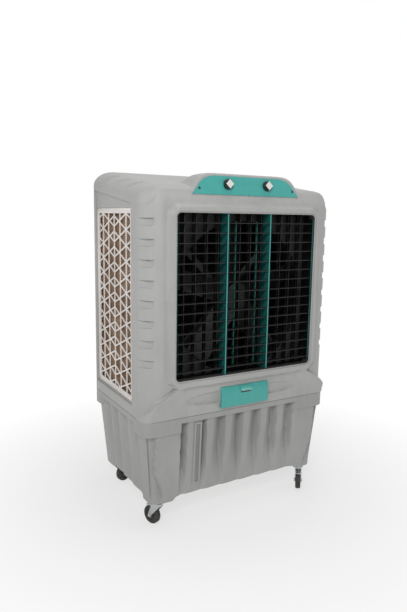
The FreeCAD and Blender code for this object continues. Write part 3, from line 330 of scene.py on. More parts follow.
EDGE_X = cabinet_hi.x            # flat side walls
EDGE_FRONT_Y = -0.202            # flat side, front end
BACK_BEVEL = 0.044
EDGE_BACK_Y = cabinet_hi.y - BACK_BEVEL
CORNER_X = 0.365                 # the front's corners start to round here
SEAM_Z = tank_hi.z
RIM_Z = SEAM_Z - 0.023
FLANGE_DROP = 0.037              # how much deeper the rim is at the corners
SHIELD_X = 0.279                 # inner edge of the corner shields
PLEAT = 0.0872
FLOOR_Z = 0.120
LEG_Z = 0.105
FOOT_LINE = 0.135                # mesh line above the legs
SIDE_PLEATS = (-0.250, -0.150, -0.048, 0.051, 0.135, 0.235)
TUB_X = 0.428                    # the tub's walls just under its rim
TUB_FRONT_Y = -0.258
TUB_BACK_Y = 0.277
TUB_CORNER = 0.033


def corner_curve(across, start, width, depth, power):
    """How far a wall has come forward at a place across it, rounding off towards the side."""
    u = np.clip((across - start) / width, 0.0, 1.0)
    return depth * (1 - u ** power) ** (1 / power)


def pleat_depth(share, height):
    """Depth of a pleated wall: a steep side beside each crease, a flat rib, then a long slope down."""
    up = np.clip((height - 0.13) / 0.29, 0, 1)
    wall_end = 0.13
    rib_end = 0.34 + 0.14 * up
    rise = np.clip((wall_end - share) / wall_end, 0, 1)
    slope = np.clip((share - rib_end) / (1 - rib_end), 0, 1) ** 1.15
    return (0.005 + 0.030 * smooth((height - 0.115) / 0.20)) * np.maximum(rise, slope)


def mould_tank(points):
    """Turn the lined block into the tub: taper, rounded corners, pleats, shields, rim and legs."""
    bx, by, bz = points.T
    across = np.abs(bx)
    side = np.sign(bx)
    on_front = np.abs(by - EDGE_FRONT_Y) < TINY
    on_back = np.abs(by - EDGE_BACK_Y) < TINY
    on_side = np.abs(across - EDGE_X) < TINY
    on_floor = np.abs(bz - LEG_Z) < TINY
    y_share = (by - EDGE_FRONT_Y) / (EDGE_BACK_Y - EDGE_FRONT_Y)

    taper = np.clip((RIM_Z - bz) / (RIM_Z - FLOOR_Z), 0, 1.05)
    half = TUB_X - 0.027 * taper
    front = TUB_FRONT_Y + 0.018 * taper
    back = TUB_BACK_Y - 0.018 * taper
    tub_x = side * half * across / EDGE_X
    tub_across = np.abs(tub_x)
    rounding = TUB_CORNER - corner_curve(tub_across, half - TUB_CORNER, TUB_CORNER, TUB_CORNER, 2.2)
    tub_y = front + TUB_CORNER + (back - front - 2 * TUB_CORNER) * y_share
    tub_y = np.where(on_front, front + rounding, tub_y)
    tub_y = np.where(on_back, back - rounding, tub_y)

    inner = 1 - smooth((tub_across - SHIELD_X) / 0.003)
    depth = pleat_depth(np.mod(tub_x / PLEAT, 1.0), bz) * inner
    gauge = (1 - smooth((np.abs(tub_x + 0.205) - 0.0185) / 0.008)) * smooth((bz - 0.148) / 0.01)
    depth = np.where(on_front, depth * (1 - gauge) + 0.001 * gauge, depth)
    scoop_x = 0.387 - 0.036 * smooth((0.26 - bz) / 0.13)
    scoop = smooth((tub_across - scoop_x) / 0.005) * (1 - smooth((tub_across - half + 0.012) / 0.010))
    shield = smooth((tub_across - SHIELD_X) / 0.004) * (1 - smooth((tub_across - scoop_x) / 0.006))
    wall = depth - 0.003 * shield + 0.018 * scoop * smooth((bz - 0.105) / 0.05)
    tub_y = np.where(on_front, tub_y + wall, tub_y)
    tub_y = np.where(on_back, tub_y - wall, tub_y)

    creases = np.array(SIDE_PLEATS)
    index = np.clip(np.searchsorted(creases, tub_y) - 1, 0, len(creases) - 2)
    side_share = 1 - (tub_y - creases[index]) / (creases[index + 1] - creases[index])
    in_pleats = smooth((tub_y + 0.185) / 0.01) * (1 - smooth((tub_y - 0.205) / 0.01))
    side_depth = pleat_depth(np.clip(side_share, 0, 1), bz) * in_pleats
    tub_x = np.where(on_side, tub_x - side * side_depth, tub_x)

    rim_front = corner_curve(across, CORNER_X, EDGE_X - CORNER_X, 0.064, 3.2)
    rim_y = np.where(on_front, EDGE_FRONT_Y - rim_front, by)
    rim_y = np.where(on_back, EDGE_BACK_Y + np.minimum(BACK_BEVEL, EDGE_X - across), rim_y)
    at_corner = smooth((across - SHIELD_X - 0.002) / 0.004)
    at_corner = np.where(on_side, smooth((-by - 0.16) / 0.004) + smooth((by - 0.205) / 0.004), at_corner)
    rim_low = RIM_Z - FLANGE_DROP * at_corner
    rim = smooth((bz - rim_low) / 0.003 + 0.5)
    rim = np.where(on_floor, 0.0, rim)
    x = bx * rim + tub_x * (1 - rim)
    y = rim_y * rim + tub_y * (1 - rim)

    leg = smooth((np.abs(x) - 0.290) / 0.022) * smooth((np.abs(y) - 0.140) / 0.022)
    foot = FLOOR_Z - (FLOOR_Z - LEG_Z) * leg
    lifted = foot + (bz - LEG_Z) * (FOOT_LINE - foot) / (FOOT_LINE - LEG_Z)
    z = np.where(bz < FOOT_LINE, lifted, bz)
    return np.stack([x, y, z], axis=1)


tank_x = both_ways(fill_places([0.0, PLEAT, 2 * PLEAT, 3 * PLEAT, SHIELD_X - 0.001, SHIELD_X + 0.006,
                                0.372, EDGE_X], 0.0042))
tank_y = fill_places([EDGE_FRONT_Y, -0.158, -0.150, -0.048, 0.051, 0.135, 0.205, EDGE_BACK_Y], 0.0062)
tank_z = fill_places([LEG_Z, FOOT_LINE, 0.385, RIM_Z - FLANGE_DROP - 0.0016, RIM_Z - FLANGE_DROP + 0.0016,
                      0.422, RIM_Z - 0.0016, RIM_Z + 0.0016, SEAM_Z - 0.002, SEAM_Z], 0.012)
tank = lined_block("water_tank_skin", tank_x, tank_y, tank_z)
delete_faces(tank, lambda x, y, z: z > SEAM_Z - 1e-4)
write_points(tank, mould_tank(read_points(tank)))
thicken(tank, 0.004)
finish_piece(tank, tank_polyethylene, 38, "cabinet", "water_tank")

# ---- Cabinet ----
# The upper half is one more blow-moulded polyethylene shell: a sloping roof with soft shoulders,
# a raised frame round the air outlet, recessed bays for the pads, and a flared skirt at the seam.

OUTLET_X = 0.320
OUTLET_Z = (0.602, 1.229)
OUTLET_MIDDLE = (OUTLET_Z[0] + OUTLET_Z[1]) / 2
OUTLET_HALF = (OUTLET_Z[1] - OUTLET_Z[0]) / 2
OUTLET_RADIUS = 0.018
LIP = 0.006                      # rounding of the outlet's edge
OUTLET_FRONT_Y = -0.291
SURROUND = 0.033                 # width of the raised frame round the outlet
SURROUND_RISE = 0.019
GRILLE_LOW = 0.499
GRILLE_HIGH = 1.243
BAY_LOW = 0.490
BACK_BAY_X = 0.339
BACK_BAY_TOP = 1.278
SIDE_BAY_Y = (-0.150, EDGE_BACK_Y - 0.002)
SHOULDER = 0.059                 # height of the roof's rounded shoulders
BAY_DROP = 0.018                 # from the foot of a shoulder down to the top of a side bay
BROW_LINE = 1.262                # mesh line above the outlet's surround
BAY_LINE = 1.290                 # mesh line that becomes the sloping top of a side bay
TOP_LINE = 1.340                 # mesh line that becomes the edge of the roof
FOLD_LINE = 0.562                # mesh line that follows the slanting fold
DOOR_HOLE_X = 0.099
DOOR_HOLE_Z = (0.474, 0.536)
PANEL_FOOT_Y = -0.2585           # front wall at the foot of the control panel
PANEL_FOOT_Z = 1.2955
LEAN_Y = math.sin(math.radians(7.6))
LEAN_Z = math.cos(math.radians(7.6))
NOTCH_TOP = 1.208
NOTCH_STEP = 0.0745
NOTCH_HEIGHT = 0.028
NOTCHES = 8
SHOULDER_NOTCHES = ((0.155, 0.098), (0.044, -0.029), (-0.078, -0.136))


def roof_height(y):
    return 1.361 + 0.145 * y


def smooth_larger(a, b, blend):
    """The larger of two heights, with a soft fillet where they cross."""
    share = np.clip(0.5 + 0.5 * (a - b) / blend, 0, 1)
    return b + (a - b) * share + blend * share * (1 - share)


def roof_surface(across, y):
    """Roof with rounded shoulders and the raised housing behind the control panel."""
    plain = roof_height(y) - SHOULDER + corner_curve(across, 0.347, EDGE_X - 0.347, SHOULDER, 1.9)
    rise = np.interp(across, [0.150, 0.176, 0.198, 0.216, 0.234, 0.250, 0.266, 0.286, 0.330],
                     [0.082, 0.081, 0.076, 0.065, 0.044, 0.020, 0.005, -0.02, -0.14])
    housing = PANEL_FOOT_Z + rise * LEAN_Z
    housing = housing + (plain - 0.012 - housing) * smooth((y + 0.18) / 0.15)
    return smooth_larger(plain, housing, 0.012), smooth((housing - plain + 0.006) / 0.014)


def bend(start, corner, end, share):
    """A place on the curve that leaves start towards corner and arrives at end."""
    return (1 - share) ** 2 * start + 2 * share * (1 - share) * corner + share ** 2 * end


def wall_top(share, start, corner, end, straight):
    """A wall that runs straight towards the corner and then rounds over to its end."""
    turn = start + (corner - start) * straight[1]
    low = start + (turn - start) * np.clip(share / straight[0], 0, 1)
    return np.where(share < straight[0], low,
                    bend(turn, corner, end, np.clip((share - straight[0]) / (1 - straight[0]), 0, 1)))


def notch_depth(drop, height):
    """A moulded notch: a sharp step in at its top, running out again towards its foot."""
    share = drop / height
    return np.where((share > 0) & (share < 1), 0.25 + 0.75 * (1 - share), 0.0)


def round_outlet_corners(x, z, chosen):
    """Bend the square mesh rings at the outlet's corners into round ones."""
    radius = OUTLET_RADIUS + LIP
    dx = np.abs(x) - (OUTLET_X + LIP - radius)
    dz = np.abs(z - OUTLET_MIDDLE) - (OUTLET_HALF + LIP - radius)
    reach = np.maximum(dx, dz)
    fade = smooth((reach - radius) / 0.035)
    scale = (1 - fade) * reach / np.maximum(np.hypot(dx, dz), 1e-9) + fade - 1
    scale = np.where(chosen & (dx > 0) & (dz > 0), scale, 0)
    return x + np.sign(x) * dx * scale, z + np.sign(z - OUTLET_MIDDLE) * dz * scale


def mould_cabinet(points):
    """Turn the lined block into the housing's outer skin."""
    bx, by, bz = points.T
    across = np.abs(bx)
    sign = np.sign(bx)
    on_front = np.abs(by - EDGE_FRONT_Y) < TINY
    on_back = np.abs(by - EDGE_BACK_Y) < TINY
    on_side = np.abs(across - EDGE_X) < TINY
    on_top = (bz > TOP_LINE - TINY) & ~on_front & ~on_back & ~on_side
    edge = roof_height(by) - SHOULDER

    # Sides: the upper mesh lines follow the slope of the roof.
    side_z = np.interp(bz, [GRILLE_HIGH, BAY_LINE, TOP_LINE], [0.0, 1.0, 2.0])
    side_z = np.where(side_z < 1, GRILLE_HIGH + (edge - BAY_DROP - GRILLE_HIGH) * side_z,
                      edge - BAY_DROP * (2 - side_z))
    side_z = np.where(bz < GRILLE_HIGH, bz, side_z)
    at_edge = smooth((across - 0.380) / (EDGE_X - 0.380))

    # Front: full corners in the skirt below a slanting fold, softer ones above it.
    upper = corner_curve(across, CORNER_X, EDGE_X - CORNER_X, 0.070, 1.56)
    fold = np.interp(across, [0.280, CORNER_X, 0.400, 0.428, EDGE_X], [0.592, 0.542, 0.520, 0.494, 0.464])
    line = FOLD_LINE + (fold - FOLD_LINE) * smooth((across - 0.200) / 0.080)
    stretched = np.interp(bz, [SEAM_Z, FOLD_LINE], [0.0, 1.0]) + \
        np.interp(bz, [FOLD_LINE, OUTLET_Z[0] - LIP], [0.0, 1.0])
    followed = np.where(stretched < 1, SEAM_Z + (line - SEAM_Z) * stretched,
                        line + (OUTLET_Z[0] - LIP - line) * (stretched - 1))
    bz = np.where(on_front & (bz < OUTLET_Z[0] - LIP), followed, bz)
    lean = 0.064 + 0.006 * np.clip((bz - SEAM_Z) / 0.125, 0, 1)
    lower = lean * corner_curve(across, CORNER_X, EDGE_X - CORNER_X, 1.0, 3.2)
    below = fold - bz
    flare = 0.012 * (1 - smooth(below / 0.075)) * smooth((across - 0.262) / 0.03) * \
        (1 - smooth((across - 0.425) / 0.017))
    skirt = smooth(below / 0.006 + 0.5)
    bulge = upper + (np.maximum(lower, 0) + flare - upper) * skirt
    groove = np.exp(-((below + 0.002) / 0.0035) ** 2) * smooth((across - 0.300) / 0.03)
    groove = groove * (1 - smooth((across - 0.428) / 0.012))
    front_y = EDGE_FRONT_Y - bulge + 0.005 * groove

    frame_round = 0.048
    beyond_x = across - (OUTLET_X + SURROUND - frame_round)
    beyond_z = np.abs(bz - OUTLET_MIDDLE) - (OUTLET_HALF + SURROUND - frame_round)
    outside = np.hypot(np.maximum(beyond_x, 0), np.maximum(beyond_z, 0)) + \
        np.minimum(np.maximum(beyond_x, beyond_z), 0) - frame_round
    ramp = np.where(bz < OUTLET_MIDDLE, 0.007, 0.015)
    front_y = front_y - SURROUND_RISE * smooth(-outside / ramp)
    hollow = 1 - ((across - 0.113) / 0.175) ** 2 - ((bz - 0.512) / 0.026) ** 2
    front_y = front_y + 0.009 * smooth(1.8 * hollow) * (across > 0.114)
    front_y = np.maximum(front_y, cabinet_lo.y)

    x = bx.copy()
    for notch in range(NOTCHES):
        depth = notch_depth(NOTCH_TOP - NOTCH_STEP * notch - bz, NOTCH_HEIGHT)
        depth = 0.0125 * depth * np.sin(np.pi * np.clip((0.4405 - across) / 0.042, 0, 1)) ** 0.6
        depth = np.where(on_front, depth, 0)
        x = x - sign * 0.75 * depth
        front_y = front_y + 0.65 * depth

    foot_share = np.clip(upper / 0.070, 0, 1)
    top_y = EDGE_FRONT_Y - 0.014 * foot_share
    top_z, housed = roof_surface(across, top_y)
    housing_y = PANEL_FOOT_Y + (top_z - PANEL_FOOT_Z) * LEAN_Y / LEAN_Z
    end_y = top_y + (housing_y + 0.007 - top_y) * housed
    end_z = roof_surface(across, end_y)[0]
    foot_y = EDGE_FRONT_Y + (PANEL_FOOT_Y - EDGE_FRONT_Y) * foot_share
    foot_z = PANEL_FOOT_Z + (edge - BAY_DROP - PANEL_FOOT_Z) * at_edge
    corner_y = foot_y + (end_y - foot_y) * 0.30
    corner_y = corner_y + (housing_y - corner_y) * housed
    corner_z = foot_z + (end_z - foot_z) * (0.88 + 0.12 * housed)
    first = np.clip((bz - BROW_LINE) / (BAY_LINE - BROW_LINE), 0, 1)
    second = np.clip((bz - BAY_LINE) / (TOP_LINE - BAY_LINE), 0, 1)
    straight = (0.62, 0.55 + 0.32 * housed)
    high_y = wall_top(second, foot_y, corner_y, end_y, straight)
    high_z = wall_top(second, foot_z, corner_z, end_z, straight)
    low_z = np.minimum(bz, BROW_LINE) + (foot_z - BROW_LINE) * first
    front_z = np.where(bz < BAY_LINE, low_z, high_z)
    front_z = front_z + np.where(bz > GRILLE_HIGH, (side_z - front_z) * at_edge * (1 - second), 0)
    front_y = np.where(bz < BAY_LINE, front_y + (foot_y - front_y) * first ** 1.5, high_y)

    # Back: a flat wall between two bevelled corners, rounding over into the roof.
    wall_y = EDGE_BACK_Y + np.minimum(BACK_BEVEL, EDGE_X - across)
    over_y = EDGE_BACK_Y + 0.009 * (wall_y - EDGE_BACK_Y) / BACK_BEVEL
    over_z = roof_surface(across, over_y)[0]
    back_z = np.interp(bz, [GRILLE_HIGH, BAY_LINE], [GRILLE_HIGH, BACK_BAY_TOP])
    back_z = np.where(bz < GRILLE_HIGH, bz, back_z)
    back_z = np.where(bz > BAY_LINE, wall_top(second, BACK_BAY_TOP, over_z, over_z, (0.5, 0.72)), back_z)
    back_z = back_z + (side_z - back_z) * at_edge * (1 - second)
    back_y = np.where(bz > BAY_LINE, wall_top(second, wall_y, wall_y, over_y, (0.5, 0.72)), wall_y)

    # Roof: its front rows follow the brow and the housing, its back rows the rounding.
    roof_y = by + (end_y - EDGE_FRONT_Y) * (1 - smooth((by - EDGE_FRONT_Y) / 0.10))
    roof_y = roof_y + (over_y - EDGE_BACK_Y) * smooth((by - EDGE_BACK_Y + 0.06) / 0.06)
    roof_z = roof_surface(across, roof_y)[0]
    for start, finish in SHOULDER_NOTCHES:
        share = (EDGE_X - across) / 0.062
        depth = notch_depth(roof_y - (start + (finish - start) * share), 0.030)
        depth = 0.013 * depth * np.sin(np.pi * np.clip(share, 0, 1)) ** 0.5
        depth = np.where(on_top, depth, 0)
        roof_z = roof_z - 0.75 * depth
        x = x - sign * 0.65 * depth

    y = np.where(on_front, front_y, np.where(on_back, back_y, np.where(on_top, roof_y, by)))
    z = np.where(on_front, front_z, np.where(on_back, back_z, np.where(on_top, roof_z, side_z)))
    x, z = round_outlet_corners(x, z, on_front & (bz < BROW_LINE))
    seam = bz < SEAM_Z + TINY
    x = np.where(seam, x - sign * 0.0018, x)
    y = np.where(seam, y * 0.994, y)
    z = np.where(seam, SEAM_Z + 0.0006, z)
    return np.stack([x, y, z], axis=1)


def select_open_edges(piece, test):
    """Select the edges with one face only whose middle passes the test of x, y and z."""
    mesh = piece.data
    loops = np.empty(len(mesh.loops), dtype=np.int64)
    mesh.loops.foreach_get("edge_index", loops)
    uses = np.bincount(loops, minlength=len(mesh.edges))
    ends = np.array([e.vertices[:] for e in mesh.edges])
    middles = read_points(piece)[ends].mean(axis=1)
    pick(piece, "EDGE", (uses == 1) & test(*middles.T))


def extrude_selected(piece, place):
    """Extrude the selected edges and put each new point where place says."""
    bpy.ops.object.mode_set(mode="EDIT")
    bpy.ops.mesh.extrude_edges_move()
    bpy.ops.object.mode_set(mode="OBJECT")
    chosen = np.empty(len(piece.data.vertices), dtype=bool)
    piece.data.vertices.foreach_get("select", chosen)
    points = read_points(piece)
    points[chosen] = place(points[chosen])
    write_points(piece, points)


def outlet_ring(inset, y):
    """Where a ring of the outlet's lip lies: a rounded rectangle, moved in towards its middle."""
    radius = OUTLET_RADIUS + LIP

    def place(points):
        moved = points.copy()
        dx = np.abs(points[:, 0]) - (OUTLET_X + LIP - radius)
        dz = np.abs(points[:, 2] - OUTLET_MIDDLE) - (OUTLET_HALF + LIP - radius)
        in_corner = (dx > 0) & (dz > 0)
        length = np.maximum(np.hypot(dx, dz), 1e-9)
        across_x = np.where(in_corner, dx / length, (dx > dz) * 1.0)
        across_z = np.where(in_corner, dz / length, (dx <= dz) * 1.0)
        moved[:, 0] -= np.sign(points[:, 0]) * across_x * inset
        moved[:, 1] = y
        moved[:, 2] -= np.sign(points[:, 2] - OUTLET_MIDDLE) * across_z * inset
        return moved
    return place


def squeeze(values, old_low, old_high, low, high):
    return low + (values - old_low) * (high - low) / (old_high - old_low)


def bay_steps(piece, depth_axis, along_axis, outward, face, low_u, high_u, top_of):
    """Recess a pad's bay: a soft edge, a wall 8 mm deep, a floor, and a rebate for the grille."""
    def ring(inset, depth):
        def place(points):
            u, z = points[:, along_axis], points[:, 2]
            top = top_of(u)
            points[:, along_axis] = squeeze(u, low_u, high_u, low_u + inset, high_u - inset)
            points[:, 2] = squeeze(z, BAY_LOW, top, BAY_LOW + inset, top - inset)
            points[:, depth_axis] = outward * (face - depth)
            return points
        return place

    def window(inset, depth, first):
        def place(points):
            u, z = points[:, along_axis], points[:, 2]
            if first:
                top = top_of(u) - 0.0015
                grille_low, grille_high = low_u + 0.0082, high_u - 0.0082
                points[:, 2] = squeeze(z, BAY_LOW + 0.0015, top, GRILLE_LOW - 0.0008, GRILLE_HIGH + 0.0008)
                points[:, along_axis] = squeeze(u, low_u + 0.0015, high_u - 0.0015, grille_low, grille_high)
            else:
                middle_u = (low_u + high_u) / 2
                middle_z = (GRILLE_LOW + GRILLE_HIGH) / 2
                points[:, along_axis] = u - np.clip(u - middle_u, -inset, inset)
                points[:, 2] = z - np.clip(z - middle_z, -inset, inset)
            points[:, depth_axis] = outward * (face - depth)
            return points
        return place

    extrude_selected(piece, ring(0.0010, 0.0012))
    extrude_selected(piece, ring(0.0005, 0.0080))
    extrude_selected(piece, window(0.0, 0.0082, True))
    extrude_selected(piece, window(0.0, 0.0172, False))
    extrude_selected(piece, window(0.010, 0.0174, False))


skin_x = both_ways(fill_places([0.0, DOOR_HOLE_X, 0.1132, 0.1148, 0.150, OUTLET_X + LIP, BACK_BAY_X,
                                0.360, 0.398, 0.425, 0.436, EDGE_X], 0.0058))
skin_y = fill_places([EDGE_FRONT_Y, SIDE_BAY_Y[0], SIDE_BAY_Y[1], EDGE_BACK_Y], 0.0078)
notch_lines = []
for notch in range(NOTCHES):
    top = NOTCH_TOP - NOTCH_STEP * notch
    notch_lines += [top - NOTCH_HEIGHT - 0.0006, top - NOTCH_HEIGHT + 0.0006, top - 0.0006, top + 0.0006]
skin_z = fill_places([SEAM_Z, SEAM_Z + 0.002, DOOR_HOLE_Z[0], BAY_LOW, DOOR_HOLE_Z[1], FOLD_LINE,
                      0.569, 0.576, OUTLET_Z[0] - LIP], 0.0042)
skin_z += fill_places([OUTLET_Z[0] - LIP] + sorted(notch_lines) +
                      [OUTLET_Z[1] + LIP, GRILLE_HIGH, BROW_LINE, BAY_LINE, TOP_LINE], 0.0074)[1:]
skin = lined_block("cabinet_skin", skin_x, skin_y, skin_z)
delete_faces(skin, lambda x, y, z: z < SEAM_Z + 1e-4)
for half_x, low, high in ((OUTLET_X + LIP, OUTLET_Z[0] - LIP, OUTLET_Z[1] + LIP),
                          (DOOR_HOLE_X, DOOR_HOLE_Z[0], DOOR_HOLE_Z[1])):
    delete_faces(skin, lambda x, y, z: (np.abs(x) < half_x) & (y < EDGE_FRONT_Y + 1e-4) &
                 (z > low) & (z < high))
delete_faces(skin, lambda x, y, z: (np.abs(x) > EDGE_X - 1e-4) & (y > SIDE_BAY_Y[0]) &
             (y < SIDE_BAY_Y[1]) & (z > BAY_LOW) & (z < BAY_LINE))
delete_faces(skin, lambda x, y, z: (np.abs(x) < BACK_BAY_X) & (y > EDGE_BACK_Y - 1e-4) &
             (z > BAY_LOW) & (z < BAY_LINE))
write_points(skin, mould_cabinet(read_points(skin)))

select_open_edges(skin, lambda x, y, z: (y < -0.285) & (np.abs(x) < 0.33) & (z > 0.59) & (z < 1.24))
LIP_STEPS = 4                    # the lip turns a right angle in this many steps
LIP_INSET = LIP * (1 - math.cos(math.pi / 2 / LIP_STEPS))
for step in range(1, LIP_STEPS + 1):
    inset = LIP_INSET if step < LIP_STEPS else LIP - (LIP_STEPS - 1) * LIP_INSET
    turn = math.pi / 2 * step / LIP_STEPS
    extrude_selected(skin, outlet_ring(inset, OUTLET_FRONT_Y + LIP * math.sin(turn)))
extrude_selected(skin, outlet_ring(0.0, -0.252))

select_open_edges(skin, lambda x, y, z: (y < -0.25) & (np.abs(x) < 0.1) & (z > 0.47) & (z < 0.54))
extrude_selected(skin, lambda points: points + np.array([0.0, 0.014, 0.0]))
for outward in (-1, 1):
    select_open_edges(skin, lambda x, y, z: (x * outward > EDGE_X - 0.004) & (y > SIDE_BAY_Y[0] - 0.002) &
                      (y < SIDE_BAY_Y[1] + 0.002) & (z > BAY_LOW - 0.002))
    bay_steps(skin, 0, 1, outward, EDGE_X, SIDE_BAY_Y[0], SIDE_BAY_Y[1],
              lambda y: roof_height(y) - SHOULDER - BAY_DROP)
select_open_edges(skin, lambda x, y, z: (y > cabinet_hi.y - 0.004) & (np.abs(x) < BACK_BAY_X + 0.002) &
                  (z > BAY_LOW - 0.002))
bay_steps(skin, 1, 0, 1, cabinet_hi.y, -BACK_BAY_X, BACK_BAY_X, lambda x: BACK_BAY_TOP + 0 * x)
thicken(skin, 0.0025)

# Blow-moulded polyethylene: the same waxy grey as the tub, a shade lighter and cleaner up here.
cabinet_polyethylene = moulded_plastic("cabinet_polyethylene", "#A9A9A7", "#A2A2A0", "#AFAFAD",
                                       0.50, 2.5, 0.0005)
finish_piece(skin, cabinet_polyethylene, 40, "cabinet", "cabinet_shell")

# Ears at both ends of the fill door's hole hold its pins.
EAR_Y = -0.268
EAR_Z = 0.468
for name, ear_x in (("door_ear_left", -0.1161), ("door_ear_right", 0.1161)):
    ear = plain_block(name, (ear_x, EAR_Y + 0.0008, EAR_Z), (0.0042, 0.0160, 0.0110))
    points = read_points(ear)
    points[:, 2] = EAR_Z + (points[:, 2] - EAR_Z) * np.where(points[:, 1] < EAR_Y, 0.75, 1.0)
    write_points(ear, points)
    round_edges(ear, 0.0012, 3)
    finish_piece(ear, cabinet_polyethylene, 40, "cabinet", "cabinet_shell")

# ---- Fan deck ----
# The upright plate behind the outlet, with the round ring that the fan turns in. Its outline fits
# just inside the cabinet; its colour is painted near black as painted shade behind the louvres.


def finished_copy(name, node, edge_round, segments=2):
    """A copy of a CAD node with its flat faces merged and its edges softly rounded."""
    piece = bpy.data.objects.new(name, nodes[node].data.copy())
    bpy.context.scene.collection.objects.link(piece)
    make_active(piece)
    bpy.ops.object.mode_set(mode="EDIT")
    bpy.ops.mesh.select_all(action="SELECT")
    bpy.ops.mesh.remove_doubles(threshold=0.00001)
    bpy.ops.mesh.dissolve_limited(angle_limit=math.radians(0.5))
    bpy.ops.object.mode_set(mode="OBJECT")
    round_edges(piece, edge_round, segments, 40)
    return piece


def finish_copies(material, edge_round, *names):
    """Round and finish copies of several CAD nodes that share one material."""
    for node in names:
        piece = finished_copy(node + "_finished", node, edge_round)
        finish_piece(piece, material, 35, nodes[node]["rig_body"], node)


# Near-black board: its colour is painted shade, so the face stays dark behind the louvres.
deck_painted_shade = moulded_plastic("deck_painted_shade", "#171817", "#121312", "#20211F", 0.62, 1.8, 0.0003)
finish_copies(deck_painted_shade, 0.0010, "fan_deck")

# ---- Fan and motor ----
# A pressed axial fan on the shaft of a round motor, which hangs on a flat steel bracket
# behind the deck. The motor is enamelled; the blades are glossy moulded plastic.

# Black nylon: dark, with a broad weak shine along each blade.
fan_nylon = moulded_plastic("fan_nylon", "#0D0D0D", "#090909", "#131312", 0.50, 1.2, 0.00015)
finish_copies(fan_nylon, 0.0012, "fan_impeller")


def sheet_metal(name, colour, bright, roughness, metallic, grain_mm):
    """Steel with a finish: cloudy spangle and fine pits."""
    material, tree, place = start_material(name)
    cells = add_node(tree, "TexVoronoi", {"Scale": MM_PER_M / grain_mm}, {"Vector": place})
    clouds = noise(tree, place, 30.0, 4.0, 0.6)
    share = calculate(tree, "MULTIPLY_ADD", cells, 0.25, clouds)
    shine = map_range(tree, clouds, 0.3, 0.8, roughness - 0.06, roughness + 0.12)
    return end_material(material, {"Metallic": metallic},
                        {"Base Color": mix_colours(tree, share, colour, bright), "Roughness": shine,
                         "Normal": bumps(tree, cells, 0.15, 0.0003)})


# Dark enamel over steel: opaque paint with a slight orange peel.
motor_enamel = sheet_metal("motor_enamel", "#1D1F20", "#2A2C2E", 0.48, 0.0, 1.4)
finish_copies(motor_enamel, 0.0012, "fan_motor")

# ---- Swing blades and their drive ----
# Twelve upright blades turn the air left and right. Each is an injection-moulded strip with a
# pin at either end and a crank. A small synchronous motor turns the seventh, and a bar turns
# the others with it.

# Black polypropylene: dark body, thin bright line where an edge turns to the light.
louver_black = moulded_plastic("louver_black", "#101010", "#0A0A0A", "#191918", 0.33, 1.5, 0.00012)
finish_copies(louver_black, 0.0007, "swing_bar", *("swing_blade_%02d" % (i + 1) for i in range(12)))
# Zinc passivated steel: soft, slightly blue metal with a faint spangle.
zinc_plate = sheet_metal("zinc_plate", "#9FA3A4", "#C2C5C5", 0.30, 1.0, 1.1)
finish_copies(zinc_plate, 0.0008, "swing_motor")

# ---- Outlet frame ----
# The black frame that slides into the outlet. Two posts and two end walls hold the spindles of
# the tilt blades in round holes, and their front edges are teal.
# Teal polypropylene: saturated and fairly glossy, the maker's accent colour.
teal_gloss = moulded_plastic("teal_gloss", "#3FA39C", "#3C9F98", "#43A7A0", 0.30, 1.6, 0.00012, 0.15)
# The same plastic painted darker, as painted shade, for faces that lie in the shade of the outlet.
teal_painted_shade = moulded_plastic("teal_painted_shade", "#1E615D", "#174E4B", "#266F6A", 0.45, 1.6, 0.0002)


def assign_faces(piece, index, test):
    """Put the material slot's number on the faces whose middle passes the test."""
    current = np.empty(len(piece.data.polygons), dtype=np.int32)
    piece.data.polygons.foreach_get("material_index", current)
    current[faces_where(piece, test)] = index
    piece.data.polygons.foreach_set("material_index", current)


outlet_frame = finished_copy("louver_frame_finished", "louver_frame", 0.0008)
finish_piece(outlet_frame, louver_black, 35, "cabinet", "louver_frame")
outlet_frame.data.materials.append(teal_gloss)
outlet_frame.data.materials.append(teal_painted_shade)
# Posts: bright teal fronts, darker teal just behind as painted shade; end walls darker teal too.
for index, front_y in ((2, -0.262), (1, -0.271)):
    assign_faces(outlet_frame, index, lambda x, y, z: (np.abs(x) < 0.112) & (y < front_y) &
                 (z > 0.60) & (z < 1.23))
assign_faces(outlet_frame, 2, lambda x, y, z: (np.abs(x) > 0.300) & (y < -0.274) &
             (z > 0.62) & (z < 1.21))
# The cabinet's own tunnel around the frame is the same grey, painted dark as painted shade.
lining_painted_shade = moulded_plastic("outlet_lining_painted_shade", "#3C3D3B", "#31322F", "#4A4A47", 0.60, 2.5, 0.0005)
skin.data.materials.append(lining_painted_shade)
assign_faces(skin, 1, lambda x, y, z: (np.abs(x) < OUTLET_X + 0.002) & (z > OUTLET_Z[0] - 0.002) &
             (z < OUTLET_Z[1] + 0.002) & (y > -0.2835) & (y < -0.2515))

# ---- Tilt blades and link bars ----
# Sixteen level blades turn the air up and down. Two slim teal bars behind the blades tie
# their cranks together, so that one push moves them all.
finish_copies(louver_black, 0.0010, *("tilt_blade_%02d" % (i + 1) for i in range(16)))
# The link bars behind the blades get the darker teal as painted shade.
finish_copies(teal_painted_shade, 0.0007, "tilt_bars")

# ---- Control panel and knobs ----
# A leaning teal plate with rounded shoulders, screwed to the housing at both ends. Each knob
# has a round black skirt and a square satin grip that stands on one corner.
panel = finished_copy("control_panel_finished", "control_panel", 0.0014, 3)
finish_piece(panel, teal_gloss, 35, "cabinet", "control_panel")

# Black phenolic skirt, shinier than the louvres.
knob_black = moulded_plastic("knob_black", "#171716", "#101010", "#222221", 0.25, 1.4, 0.0001, 0.2)


def satin_plate(name):
    """Silvery plated plastic: metal-like, with faint turning lines that stretch the shine."""
    material, tree, place = start_material(name)
    lines = add_node(tree, "Mapping", {"Scale": (300.0, 300.0, 2500.0)}, {"Vector": place})
    shine = map_range(tree, noise(tree, lines, 1.0, 2.0), 0.3, 0.7, 0.22, 0.36)
    return end_material(material, {"Base Color": linear("#D9D9D6"), "Metallic": 0.85}, {"Roughness": shine})


